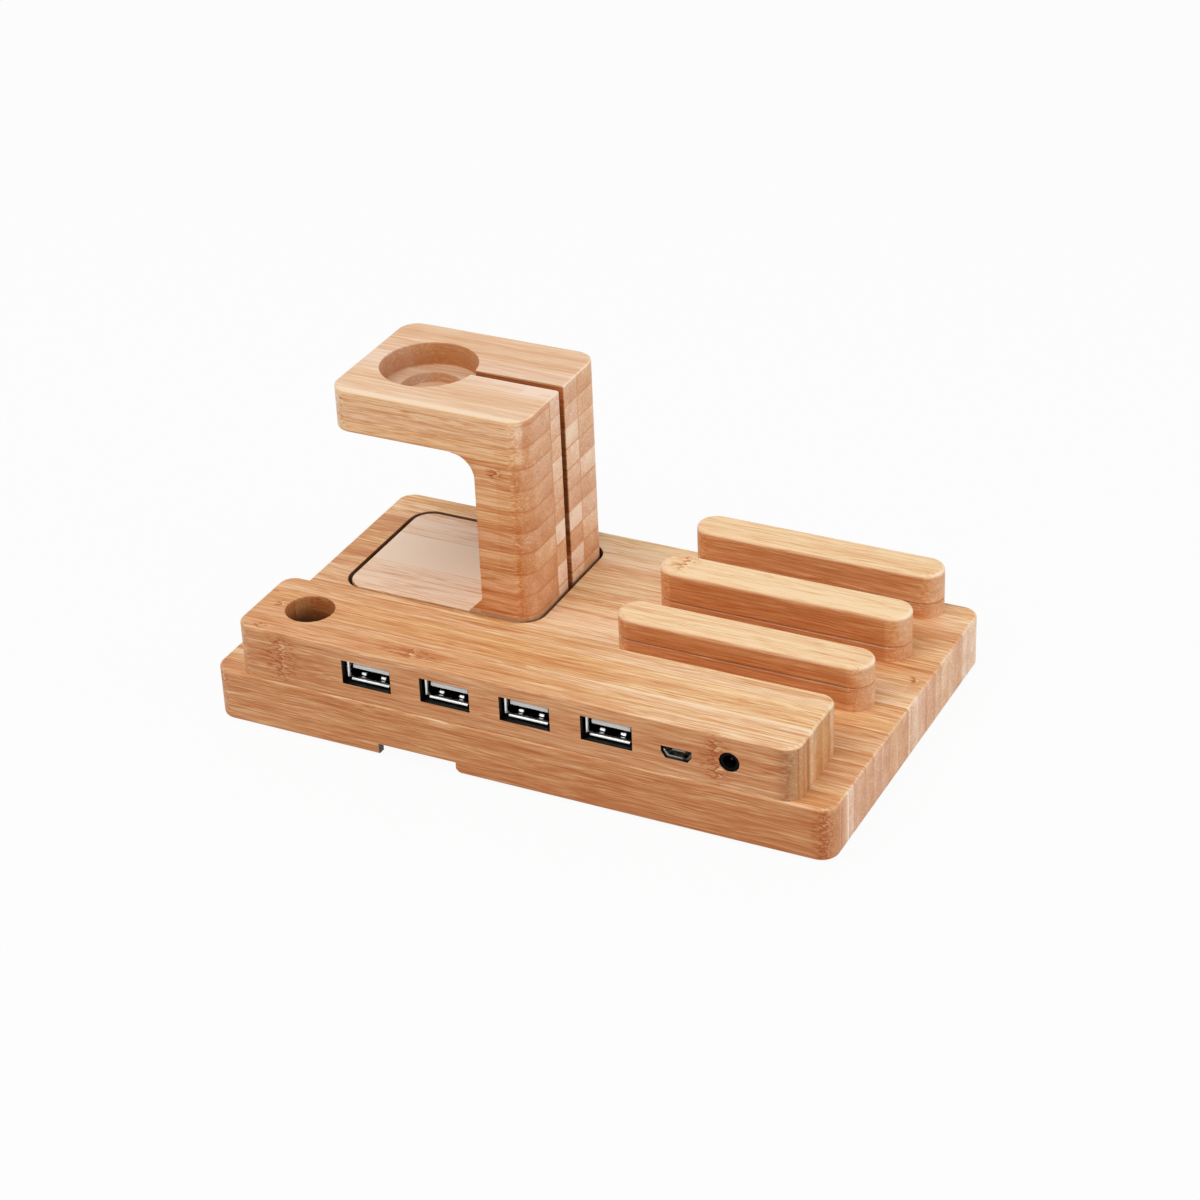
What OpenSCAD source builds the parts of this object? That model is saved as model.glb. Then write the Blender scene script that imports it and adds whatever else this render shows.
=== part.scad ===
// Bamboo charging station organizer: a base board with a four-socket hub rail along its front,
// three dividers that hold devices upright, and a lift-out watch stand that drops into a pocket.
// The origin is at the middle of the footprint, on the surface that the rubber feet stand on.

/* [Base board] */
// Width of the base board, left to right
base_w = 185; // [180:1:210]
// Depth of the base board, front to back
base_d = 110; // [110:1:130]
// Thickness of the base board
base_t = 16; // [14:0.5:20]
// Radius of the base board's upright corners
base_corner_r = 5; // [3:0.5:9]
// Rounding of the boards' long edges
edge_ease = 1; // [0.5:0.1:1.4]
// Height of the cable channel and of the notch at its mouth
channel_h = 3.5; // [2.5:0.1:4.5]
// Width of the cable channel
channel_w = 24; // [20:0.5:28]
// How far the channel runs past the back of the watch stand's post
channel_past_post = 3.5; // [2:0.5:5]

/* [Hub rail] */
// Margin from the left end of the base to the rail
rail_left_margin = 8.4; // [7:0.1:12]
// Margin from the right end of the base to the rail
rail_right_margin = 9.8; // [8:0.1:12]
// Depth of the rail, front to back
rail_d = 28.5; // [27.5:0.5:32]
// Height of the rail above the base board
rail_h = 16; // [15:0.5:20]
// Radius of the rail's upright corners
rail_corner_r = 4.5; // [3:0.5:6]
// Set-back of the rail from the front of the base board
rail_setback = 0.3; // [0.2:0.1:1.5]
// Wall in front of the hub
rail_front_wall = 2.5; // [2:0.1:3]
// Wall behind the hub
rail_back_wall = 2.8; // [2:0.1:3.5]
// Wood above the hub
rail_roof = 3; // [2:0.1:4]
// Diameter of the pen hole
pen_d = 14; // [10:0.5:16]
// Distance from the rail's left end to the middle of the pen hole
pen_in = 15.8; // [12:0.1:18]

/* [Sockets] */
// Distance from the rail's left end to the first charging socket
usb_in = 40.9; // [39:0.1:44]
// Distance from the rail's right end to the round power inlet
dc_in = 18.8; // [17:0.1:24]
// Height of the charging sockets' middle above the base board
usb_rise = 8.1; // [7.5:0.1:8.5]
// Width of a charging socket's cut-out
usb_cut_w = 15; // [14.8:0.1:16]
// Height of a charging socket's cut-out
usb_cut_h = 7.4; // [7.2:0.1:8]
// Set-back of the charging sockets from the rail's front
usb_set_in = 2; // [1:0.1:2.4]
// Set-back of the small inlet from the rail's front
micro_set_in = 0.8; // [0.5:0.1:1.5]
// Diameter of the round power inlet's nose
dc_nose_d = 5.5; // [5:0.1:6]
// Gap between a socket's front and the wood around it
cut_gap = 0.15; // [0.1:0.05:0.3]

/* [Watch stand] */
// Length of the stand, left to right
stand_len = 61.5; // [58:0.5:62]
// Depth of the stand, front to back
stand_d = 47; // [40:0.5:50]
// Height of the stand's top above the base board
stand_rise = 63; // [50:1:75]
// Distance from the base's left end to the stand
stand_in = 10.5; // [9:0.5:12]
// Distance from the base's back edge to the stand
stand_back_in = 8.7; // [5:0.1:12]
// Thickness of the arm that carries the watch charger
arm_t = 13; // [12:0.5:18]
// Thickness of the post
post_t = 16; // [12:0.5:20]
// Radius of the stand's upright corners
stand_corner_r = 6; // [4:0.5:9]
// Radius of the hollow corner under the arm
arm_fillet_r = 7; // [4:0.5:9]
// Height and width of the bevel between post and foot
foot_bevel = 4.5; // [2:0.5:6]
// Depth of the pocket that the stand drops into
pocket_depth = 8; // [6:0.5:8.5]
// Gap around the stand's foot in its pocket
pocket_gap = 1.1; // [0.5:0.1:1.5]
// Diameter of the watch charger's recess
puck_d = 28.4; // [28:0.1:32]
// Depth of the watch charger's recess
puck_depth = 7; // [5:0.5:8]
// Distance from the arm's left end to the middle of the recess
puck_in = 19.8; // [18:0.1:22]
// Diameter of the deeper hole inside the recess
puck_well_d = 18; // [12:0.5:22]
// Depth of the deeper hole below the recess
puck_well_depth = 3; // [1:0.5:4]
// Width of the slot that the charger's cable lies in
cable_slot_w = 3; // [2.5:0.1:4]
// Depth of the cable slot in the back of the post
cable_slot_depth = 6; // [4:0.5:8]

/* [Dividers] */
// Distance from the stand to the dividers
divider_gap = 28.8; // [12:0.1:40]
// Margin from the dividers to the right end of the base
divider_margin = 9.3; // [7:0.1:12]
// Thickness of the dividers, front to back
divider_w = 11.2; // [9:0.1:13]
// Height of the dividers above the base board
divider_h = 14; // [12:0.5:24]
// Set-back of the rear divider from the back of the base board
divider_setback = 0.4; // [0.2:0.1:3]
// Depth of the groove along the dividers' glue line
seam_depth = 0.4; // [0.2:0.1:0.6]

/* [Hub electronics] */
// Thickness of the circuit board
board_t = 1.6; // [1:0.1:2]
// Depth of the circuit board, front to back
board_d = 18; // [17:0.1:19]
// Board left of the first charging socket's middle
board_left_in = 10.8; // [10.5:0.1:11.5]
// Board right of the power inlet's middle
board_right_in = 7.6; // [7.4:0.1:8.4]
// Gap around the circuit board
board_gap = 0.6; // [0.4:0.1:1]
// Width of the ledges that the board's ends are screwed to
board_ledge = 4.5; // [4:0.1:5]
// Thickness of the cover under the hub
cover_t = 2.5; // [2:0.1:3.5]
// Width of the rim that the cover rests on
cover_lip = 5; // [4.5:0.1:5.5]

/* [Feet and fastenings] */
// Height that the rubber feet stand proud
foot_proud = 1; // [0.5:0.1:3]
// Diameter of the rubber feet
foot_d = 10; // [8:0.5:11]
// Depth of the seats that the rubber feet are glued into
foot_seat = 1; // [0.5:0.1:2]
// Distance from the base's edges to the middle of a foot
foot_in = 8.5; // [7:0.1:9]
// Diameter of the dowels
dowel_d = 5; // [4:0.1:5.5]
// Length of the dowels
dowel_len = 14; // [10:0.5:14]

/* [Hidden] */
$fn = 64;

// How far each cut runs past the face that it opens
overrun = 1;
// Gap around a dowel, a lead or a screw in its hole, and between parts that only touch
slip = 0.05;

// Levels
base_z = foot_proud;
base_top = base_z + base_t;
rail_top = base_top + rail_h;
pocket_floor = base_top - pocket_depth;

// Rail outline
rail_w = base_w - rail_left_margin - rail_right_margin;
rail_x = -base_w / 2 + rail_left_margin;
rail_mid_x = rail_x + rail_w / 2;
rail_y = -base_d / 2 + rail_setback;
rail_back = rail_y + rail_d;
rail_mid_y = rail_y + rail_d / 2;
pen_x = rail_x + pen_in;

// Places along the rail of the charging sockets and the small inlet, as shares of the run from
// the first charging socket to the power inlet
usb_run_shares = [0, 0.2241, 0.4482, 0.6723];
micro_run_share = 0.86;
socket_run = rail_w - usb_in - dc_in;
usb_x = [for (s = usb_run_shares) rail_x + usb_in + s * socket_run];
micro_x = rail_x + usb_in + micro_run_share * socket_run;
dc_x = rail_x + rail_w - dc_in;
usb_z = base_top + usb_rise;

// Charging socket shell: width, height, length, sheet and bend of its corners
shell_w = 13.1;
shell_h = 5.7;
shell_len = 14;
shell_wall = 0.3;
shell_corner_r = 0.7;
// Flared lips round the mouth: bend radius, and the share of each side that they run along
lip_r = 0.3;
lip_share = 0.88;
usb_y = rail_y + usb_set_in + lip_r + shell_wall;
// Spring fingers pressed out of the shell's floor and roof
finger_w = 1.9;
finger_len = 6;
finger_start = 1;
finger_gap = 0.35;
finger_floor_reach = 0.8;
finger_roof_reach = 0.3;
finger_x_share = 0.232;
finger_bump_share = 0.12;
finger_tip_share = 0.5;
// Legs that hold the shell to the board
leg_w = 2;
leg_below = 1;
leg_y_share = 0.62;
// Tongue of a charging socket, and the block that it grows from
tongue_w = 11.1;
tongue_t = 1.84;
tongue_in = 0.35;
tongue_bevel = 0.4;
tongue_roof_gap = 0.9;
block_len = 4;
tongue_top = shell_h / 2 - shell_wall - tongue_roof_gap;
tongue_low = tongue_top - tongue_t;
// Contacts under the tongue, and their pins behind the block
contact_w = 1;
contact_t = 0.2;
contact_in = 1.2;
contact_x_shares = [-0.315, -0.09, 0.09, 0.315];
pin_behind = 0.4;
pin_below = 1.2;

// Circuit board
board_top = usb_z - shell_h / 2;
board_z = board_top - board_t;
board_front_gap = 0.8;
hub_y = rail_y + rail_front_wall;
hub_back = rail_back - rail_back_wall;
board_x = usb_x[0] - board_left_in;
board_w = dc_x + board_right_in - board_x;
board_y = hub_y + board_front_gap;
// Window through the base board that the hub goes in by
window_front_rim = 2;
window_x = board_x - board_gap;
window_w = board_w + 2 * board_gap;
window_y = hub_y + window_front_rim;
// Cover in its recess
cover_gap = 0.3;
cover_corner_r = 2;
cover_x = window_x - cover_lip;
cover_w = window_w + 2 * cover_lip;
cover_y = hub_y + cover_gap;
cover_d = hub_back + cover_lip - cover_y;
cover_z = base_z + channel_h;

// Countersunk screws of the cover
cover_screw_d = 2.2;
cover_screw_head_d = 4.2;
cover_screw_head_t = 1.3;
cover_screw_len = 8;
cover_screw_x_shares = [0, 0.33, 0.67, 1];
// Pan-head screws of the board
board_screw_d = 1.8;
board_screw_head_d = 3.4;
board_screw_head_t = 1.1;
board_screw_len = 5;
board_screw_in = 2;
board_screw_y_share = 0.26;
// Cross recess in both kinds of head
cross_w = 0.6;
cross_depth = 0.7;
cross_share = 0.62;

// Watch stand outline
stand_ease = 0.6;
stand_x = -base_w / 2 + stand_in;
stand_back_x = stand_x + stand_len;
stand_mid_x = stand_x + stand_len / 2;
stand_mid_y = base_d / 2 - stand_back_in - stand_d / 2;
stand_top = base_top + stand_rise;
stand_z = pocket_floor + slip;
arm_under = stand_top - arm_t;
post_x = stand_back_x - post_t;
puck_x = stand_x + puck_in;
// Hole in the pocket's floor that the charger's plug is threaded through
plug_pass_w = 8;
plug_pass_d = 18;
plug_pass_x = stand_back_x - cable_slot_depth / 2;
// Cable channel under the base board, and the bevel at its mouth
channel_x = stand_back_x + channel_past_post - channel_w;
channel_back = stand_mid_y + plug_pass_d / 2 + channel_past_post;
notch_bevel = 1.6;

// Dividers
divider_ease = 1.2;
divider_len = base_w / 2 - divider_margin - stand_back_x - divider_gap;
divider_mid_x = base_w / 2 - divider_margin - divider_len / 2;
// Slots from the front to the rear, as shares of the depth that the dividers leave
slot_shares = [0.3644, 0.3475, 0.2881];
slot_room = base_d / 2 - divider_setback - rail_back - 3 * divider_w;
divider_front_y = rail_back + slot_room * slot_shares[0] + divider_w / 2;
divider_middle_y = divider_front_y + slot_room * slot_shares[1] + divider_w;
divider_rear_y = divider_middle_y + slot_room * slot_shares[2] + divider_w;
seam_front_share = 0.52;
seam_middle_share = 0.32;
seam_rear_share = 0.33;
// Distance from a divider's end, and from the rail's end, to the dowel
divider_dowel_in = 12;
rail_dowel_in = 4.2;

// Rubber feet
foot_ease = 0.4;

// Small inlet: a shell wider at its top than at its floor
micro_w = 7.5;
micro_h = 2.7;
micro_len = 5.6;
micro_wall = 0.25;
micro_corner_share = 0.28;
micro_flare = 0.35;
micro_flare_len = 0.4;
micro_cut_w = 8.8;
micro_cut_h = 3.6;
micro_tongue_w = 3.7;
micro_tongue_t = 0.6;
micro_tongue_in = 0.9;
micro_tongue_share = 0.5;
micro_block_len = 1.6;
micro_contact_count = 5;
micro_contact_w = 0.35;
micro_contact_t = 0.12;
micro_contact_pitch = 0.65;
micro_contact_behind = 0.5;
micro_z = board_top + micro_h / 2;
micro_y = rail_y + micro_set_in;

// Round power inlet
dc_set_in = 0.3;
dc_body_w = 6.6;
dc_body_h = 5.6;
dc_body_len = 9.5;
dc_wall = 1;
dc_bore_d = 3.8;
dc_pin_d = 1.3;
dc_pin_in = 1.2;
dc_spring_w = 1.6;
dc_spring_t = 0.25;
dc_spring_in = 2;
dc_leg_behind = 0.5;
dc_z = board_top + dc_body_h / 2;
dc_y = rail_y + dc_set_in;
dc_body_y = hub_y + board_front_gap;
dc_back = dc_body_y + dc_body_len;

// Parts on the board; their widths are shares of the room between two sockets
part_y = board_y + board_d / 2;
part_room = usb_x[1] - usb_x[0] - shell_w;
chip_share = 0.49;
chip_w = part_room * chip_share;
chip_d = 10.2;
chip_t = 1.7;
chip_rise = 0.2;
chip_lead_count = 14;
chip_lead_w = 0.3;
chip_lead_t = 0.15;
chip_lead_share = 0.1;
chip_lead_reach = part_room * chip_lead_share;
chip_lead_foot_share = 0.45;
chip_x = (usb_x[1] + usb_x[2]) / 2;
crystal_share = 0.37;
crystal_w = part_room * crystal_share;
crystal_d = 10;
crystal_h = 3.5;
crystal_rim = 0.4;
crystal_x = (usb_x[0] + usb_x[1]) / 2;
capacitor_share = 0.46;
capacitor_d = part_room * capacitor_share;
capacitor_h = 5.4;
capacitor_base_t = 0.9;
capacitor_ease_share = 0.1;
capacitor_ease = capacitor_d * capacitor_ease_share;
capacitor_x = (usb_x[2] + usb_x[3]) / 2;
capacitor_pitch = 6.5;
resistor_w = 2;
resistor_d = 1.25;
resistor_t = 0.6;
resistor_count = 6;
resistor_pitch = 3.2;
resistor_back_in = 1.6;
inductor_share = 0.46;
inductor_w = part_room * inductor_share;
inductor_h = 3;
inductor_core_share = 0.62;
inductor_plate_share = 0.2;
inductor_x = (usb_x[3] + shell_w / 2 + micro_x - micro_w / 2) / 2;

// Colours
bamboo = [0.83, 0.62, 0.40];
pale_bamboo = [0.88, 0.72, 0.50];
cover_brown = [0.32, 0.24, 0.17];
steel = [0.74, 0.75, 0.76];
white_plastic = [0.93, 0.92, 0.90];
black_plastic = [0.06, 0.06, 0.06];
rubber_grey = [0.16, 0.16, 0.17];
gilt = [0.85, 0.68, 0.32];
board_green = [0.10, 0.36, 0.22];

// Flat rectangle with round corners, about its middle
module round_rect(w, h, r) {
    if (w > 2 * r) square([w - 2 * r, h], center = true);
    if (h > 2 * r) square([w, h - 2 * r], center = true);
    for (sx = [-1, 1], sy = [-1, 1])
        translate([sx * (w / 2 - r), sy * (h / 2 - r)]) circle(r);
}

// Half section of a board that is h thick: from its middle to its side, eased at top and bottom
module half_section(half_w, h, top_ease, low_ease) {
    translate([0, low_ease]) square([half_w, h - top_ease - low_ease]);
    square([half_w - low_ease, h - top_ease]);
    translate([0, low_ease]) square([half_w - top_ease, h - low_ease]);
    translate([half_w - top_ease, h - top_ease]) circle(top_ease);
    if (low_ease > 0) translate([half_w - low_ease, low_ease]) circle(low_ease);
}

module whole_section(w, h, top_ease, low_ease) {
    half_section(w / 2, h, top_ease, low_ease);
    mirror([1, 0]) half_section(w / 2, h, top_ease, low_ease);
}

// Board with round upright corners and eased edges, about its middle, standing on z = 0
module eased_board(w, d, h, r, top_ease, low_ease) {
    for (sx = [-1, 1], sy = [-1, 1])
        translate([sx * (w / 2 - r), sy * (d / 2 - r), 0])
            rotate_extrude() half_section(r, h, top_ease, low_ease);
    rotate([90, 0, 0]) linear_extrude(d - 2 * r, center = true)
        whole_section(w, h, top_ease, low_ease);
    rotate([90, 0, 90]) linear_extrude(w - 2 * r, center = true)
        whole_section(d, h, top_ease, low_ease);
}

// Straight run along Y, from y = 0 backwards, of a flat shape drawn in X and Z
module run_back(length) {
    translate([0, length, 0]) rotate([90, 0, 0]) linear_extrude(length) children();
}

// Straight run along X, to both sides of x = 0, of a flat shape drawn in Y and Z
module run_across(length) {
    rotate([90, 0, 90]) linear_extrude(length, center = true) children();
}

// Upright round hole from z0 to z1
module hole(d, z0, z1) {
    translate([0, 0, z0]) cylinder(d = d, h = z1 - z0);
}

module at_divider_dowels(y) {
    for (s = [-1, 1])
        translate([divider_mid_x + s * (divider_len / 2 - divider_dowel_in), y, 0]) children();
}

module at_rail_dowels() {
    for (s = [-1, 1])
        translate([rail_mid_x + s * (rail_w / 2 - rail_dowel_in), rail_mid_y, 0]) children();
}

module at_feet() {
    for (sx = [-1, 1], sy = [-1, 1])
        translate([sx * (base_w / 2 - foot_in), sy * (base_d / 2 - foot_in), 0]) children();
}

module at_cover_screws() {
    run = cover_w - cover_lip;
    for (s = cover_screw_x_shares)
        translate([cover_x + cover_lip / 2 + s * run, cover_y + cover_d - cover_lip / 2, 0]) children();
    for (s = [0, 1])
        translate([cover_x + cover_lip / 2 + s * run, window_y + cover_lip / 2, 0]) children();
}

module at_board_screws() {
    for (x = [board_x + board_screw_in, board_x + board_w - board_screw_in], s = [-1, 1])
        translate([x, board_y + board_d / 2 + s * board_screw_y_share * board_d, 0]) children();
}

module base_board() {
    color(bamboo) difference() {
        translate([0, 0, base_z])
            eased_board(base_w, base_d, base_t, base_corner_r, edge_ease, edge_ease);
        stand_pocket();
        plug_pass();
        cable_channel();
        hub_window();
        for (y = [divider_front_y, divider_middle_y, divider_rear_y])
            at_divider_dowels(y) dowel_hole_down();
        at_rail_dowels() dowel_hole_down();
        at_feet() hole(foot_d + 2 * slip, base_z - overrun, base_z + foot_seat);
        at_cover_screws() hole(cover_screw_d + 2 * slip, cover_z, cover_z + cover_screw_len + slip);
    }
}

module stand_pocket() {
    translate([stand_mid_x, stand_mid_y, pocket_floor]) linear_extrude(pocket_depth + overrun)
        round_rect(stand_len + 2 * pocket_gap, stand_d + 2 * pocket_gap,
            stand_corner_r + pocket_gap);
}

module plug_pass() {
    translate([plug_pass_x, stand_mid_y, base_z - overrun])
        linear_extrude(pocket_floor - base_z + 2 * overrun)
            round_rect(plug_pass_w, plug_pass_d, plug_pass_w / 2);
}

module cable_channel() {
    length = channel_back + base_d / 2;
    translate([channel_x, -base_d / 2 - overrun, base_z - overrun])
        cube([channel_w, length + overrun, channel_h + overrun]);
    translate([channel_x + channel_w, -base_d / 2 - overrun, base_z])
        run_back(hub_y + base_d / 2 + overrun)
            polygon([[0, notch_bevel], [notch_bevel, 0], [notch_bevel, -overrun], [0, -overrun]]);
}

module hub_window() {
    translate([window_x, window_y, cover_z]) cube([window_w, hub_back - window_y, base_t]);
    translate([cover_x + cover_w / 2, cover_y + cover_d / 2, base_z - overrun])
        linear_extrude(channel_h + cover_t + overrun)
            round_rect(cover_w + 2 * cover_gap, cover_d + 2 * cover_gap, cover_corner_r);
}

module dowel_hole_down() {
    hole(dowel_d + 2 * slip, base_top - dowel_len / 2, base_top + overrun);
}

module dowel_hole_up() {
    hole(dowel_d + 2 * slip, base_top - overrun, base_top + dowel_len / 2);
}

module dowel() {
    color(pale_bamboo)
        hole(dowel_d, base_top - dowel_len / 2 + slip, base_top + dowel_len / 2 - slip);
}

module hub_rail() {
    through = rail_front_wall + 2 * overrun;
    color(bamboo) difference() {
        translate([rail_mid_x, rail_mid_y, base_top])
            eased_board(rail_w, rail_d, rail_h, rail_corner_r, edge_ease, 0);
        translate([pen_x, rail_mid_y, 0]) hole(pen_d, base_top - overrun, rail_top + overrun);
        translate([window_x, hub_y, base_top - overrun])
            cube([window_w, hub_back - hub_y, board_top - base_top + overrun]);
        translate([window_x + board_ledge, hub_y, base_top])
            cube([window_w - 2 * board_ledge, hub_back - hub_y, rail_h - rail_roof]);
        for (x = usb_x) translate([x, rail_y - overrun, usb_z])
            run_back(through) square([usb_cut_w, usb_cut_h], center = true);
        translate([micro_x, rail_y - overrun, micro_z])
            run_back(through) micro_outline(micro_cut_w, micro_cut_h);
        translate([dc_x, rail_y - overrun, dc_z])
            run_back(through) circle(d = dc_nose_d + 2 * cut_gap);
        at_rail_dowels() dowel_hole_up();
        at_board_screws() hole(board_screw_d + 2 * slip, board_z, board_z + board_screw_len + slip);
    }
}

// Flat outline that is square at the top and has cut corners at the bottom
module micro_outline(w, h) {
    corner = w * micro_corner_share;
    polygon([[-w / 2, h / 2], [w / 2, h / 2], [w / 2, 0], [w / 2 - corner / 2, -h / 2],
        [corner / 2 - w / 2, -h / 2], [-w / 2, 0]]);
}

// Half section of a divider: eased at the top and grooved along its glue line
module divider_section(seam_z) {
    side = divider_w / 2;
    difference() {
        half_section(side, divider_h, divider_ease, 0);
        polygon([[side - seam_depth, seam_z], [side + seam_depth, seam_z - 2 * seam_depth],
            [side + seam_depth, seam_z + 2 * seam_depth]]);
    }
}

module divider(y, seam_share) {
    straight = divider_len - divider_w;
    color(pale_bamboo) difference() {
        translate([divider_mid_x, y, base_top]) {
            for (s = [-1, 1]) translate([s * straight / 2, 0, 0])
                rotate_extrude() divider_section(divider_h * seam_share);
            run_across(straight) {
                divider_section(divider_h * seam_share);
                mirror([1, 0]) divider_section(divider_h * seam_share);
            }
        }
        at_divider_dowels(y) dowel_hole_up();
    }
}

module watch_stand() {
    color(bamboo) difference() {
        union() {
            translate([stand_mid_x, stand_mid_y, arm_under])
                eased_board(stand_len, stand_d, arm_t, stand_corner_r, stand_ease, stand_ease);
            translate([stand_mid_x, stand_mid_y, stand_z])
                eased_board(stand_len, stand_d, base_top - stand_z, stand_corner_r,
                    stand_ease, stand_ease);
            stand_post();
        }
        puck_recess();
        cable_slot();
    }
}

// Post with the hollow corner under the arm and the bevel above the foot
module stand_post() {
    low = stand_z + stand_ease;
    high = stand_top - stand_ease;
    intersection() {
        translate([stand_mid_x, stand_mid_y, low]) linear_extrude(high - low)
            round_rect(stand_len, stand_d, stand_corner_r);
        translate([0, stand_mid_y - stand_d / 2, 0]) run_back(stand_d) post_side();
    }
}

// Side view of the post
module post_side() {
    low = stand_z + stand_ease;
    high = stand_top - stand_ease;
    translate([post_x, low]) square([post_t, high - low]);
    difference() {
        translate([post_x - arm_fillet_r, arm_under - arm_fillet_r])
            square([arm_fillet_r + overrun, arm_fillet_r + overrun]);
        translate([post_x - arm_fillet_r, arm_under - arm_fillet_r]) circle(arm_fillet_r);
    }
    polygon([[post_x - foot_bevel, base_top], [post_x, base_top + foot_bevel],
        [post_x + overrun, base_top + foot_bevel], [post_x + overrun, base_top - overrun],
        [post_x - foot_bevel, base_top - overrun]]);
}

module puck_recess() {
    translate([puck_x, stand_mid_y, 0]) {
        hole(puck_d, stand_top - puck_depth, stand_top + overrun);
        hole(puck_well_d, stand_top - puck_depth - puck_well_depth, stand_top);
    }
}

// Slot along the arm's top and down the whole back of the post
module cable_slot() {
    slot_y = stand_mid_y - cable_slot_w / 2;
    translate([puck_x, slot_y, stand_top - puck_depth])
        cube([stand_back_x + overrun - puck_x, cable_slot_w, puck_depth + overrun]);
    translate([stand_back_x - cable_slot_depth, slot_y, stand_z - overrun])
        cube([cable_slot_depth + overrun, cable_slot_w, stand_top - stand_z + 2 * overrun]);
}

module divider_dowels() {
    for (y = [divider_front_y, divider_middle_y, divider_rear_y]) at_divider_dowels(y) dowel();
}

module rail_dowels() {
    at_rail_dowels() dowel();
}

module hub_cover() {
    color(cover_brown) difference() {
        translate([cover_x + cover_w / 2, cover_y + cover_d / 2, cover_z])
            linear_extrude(cover_t) round_rect(cover_w, cover_d, cover_corner_r);
        at_cover_screws() {
            hole(cover_screw_d + 2 * slip, cover_z - overrun, cover_z + cover_t + overrun);
            translate([0, 0, cover_z]) cylinder(d1 = cover_screw_head_d + 2 * slip,
                d2 = cover_screw_d + 2 * slip, h = cover_screw_head_t);
        }
    }
}

// Countersunk screws, heads down
module cover_screws() {
    neck = cover_screw_len - cover_screw_d;
    color(steel) at_cover_screws() translate([0, 0, cover_z]) difference() {
        rotate_extrude() polygon([[0, 0], [cover_screw_head_d / 2, 0],
            [cover_screw_d / 2, cover_screw_head_t], [cover_screw_d / 2, neck],
            [0, cover_screw_len]]);
        cross_recess(cover_screw_head_d);
    }
}

// Pan-head screws, heads down, that hold the board up to its ledges
module board_screws() {
    neck = board_screw_len - board_screw_d;
    color(steel) at_board_screws() translate([0, 0, board_z - slip]) difference() {
        rotate_extrude() polygon([[0, -board_screw_head_t],
            [board_screw_head_d / 2, -board_screw_head_t], [board_screw_head_d / 2, 0],
            [board_screw_d / 2, 0], [board_screw_d / 2, neck], [0, board_screw_len]]);
        translate([0, 0, -board_screw_head_t]) cross_recess(board_screw_head_d);
    }
}

module cross_recess(head_d) {
    for (a = [0, 90]) rotate([0, 0, a])
        cube([head_d * cross_share, cross_w, 2 * cross_depth], center = true);
}

module rubber_feet() {
    color(rubber_grey) at_feet()
        rotate_extrude() half_section(foot_d / 2, foot_proud + foot_seat, foot_ease, foot_ease);
}

// Board with slots for the shells' legs and holes for the pins
module circuit_board() {
    color(board_green) difference() {
        translate([board_x, board_y, board_z]) cube([board_w, board_d, board_t]);
        at_board_screws() hole(board_screw_d + 2 * slip, board_z - overrun, board_top + overrun);
        for (x = usb_x) {
            for (s = [-1, 1])
                translate([x + s * (shell_w - shell_wall) / 2, usb_y + shell_len * leg_y_share,
                    board_top]) cube([shell_wall + 2 * slip, leg_w + 2 * slip,
                    2 * board_t + 2 * overrun], center = true);
            for (s = contact_x_shares)
                translate([x + s * tongue_w, usb_y + shell_len + pin_behind + contact_t / 2, 0])
                    hole(contact_w + 2 * slip, board_z - overrun, board_top + overrun);
        }
    }
}

module usb_shell(i) {
    color(steel) translate([usb_x[i], usb_y, usb_z]) {
        difference() {
            run_back(shell_len) difference() {
                round_rect(shell_w, shell_h, shell_corner_r);
                round_rect(shell_w - 2 * shell_wall, shell_h - 2 * shell_wall,
                    shell_corner_r - shell_wall);
            }
            for (sx = [-1, 1], sz = [-1, 1])
                translate([sx * shell_w * finger_x_share, finger_start + finger_len / 2,
                    sz * shell_h / 2])
                    cube([finger_w + 2 * finger_gap, finger_len, 4 * shell_wall], center = true);
        }
        for (sx = [-1, 1]) translate([sx * shell_w * finger_x_share, 0, 0]) {
            translate([0, 0, -shell_h / 2]) finger(finger_floor_reach);
            translate([0, 0, shell_h / 2]) mirror([0, 0, 1]) finger(finger_roof_reach);
        }
        for (sx = [-1, 1]) shell_leg(sx);
        for (sz = [-1, 1]) scale([1, 1, sz]) lip(shell_w, shell_h / 2);
        for (a = [90, 270]) rotate([0, a, 0]) lip(shell_h, shell_w / 2);
    }
}

// Spring finger that rises from the shell's floor and points at the mouth
module finger(reach) {
    root = finger_start + finger_len;
    bump = finger_start + finger_len * finger_bump_share;
    tip = finger_start + finger_gap;
    tip_z = reach * finger_tip_share;
    run_across(finger_w) polygon([[root + shell_wall, 0], [root, 0], [bump, reach], [tip, tip_z],
        [tip, tip_z + shell_wall], [bump, reach + shell_wall], [root, shell_wall],
        [root + shell_wall, shell_wall]]);
}

module shell_leg(side) {
    high = shell_corner_r - shell_h / 2 + shell_wall;
    low = -shell_h / 2 - board_t - leg_below;
    translate([side * (shell_w - shell_wall) / 2, shell_len * leg_y_share, (high + low) / 2])
        cube([shell_wall, leg_w, high - low], center = true);
}

// Lip bent outwards along one side of the mouth
module lip(side, rise) {
    reach = lip_r + shell_wall;
    translate([0, 0, rise + lip_r]) run_across(side * lip_share) intersection() {
        difference() {
            circle(reach);
            circle(lip_r);
        }
        translate([-reach, -reach]) square(reach);
    }
}

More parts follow.
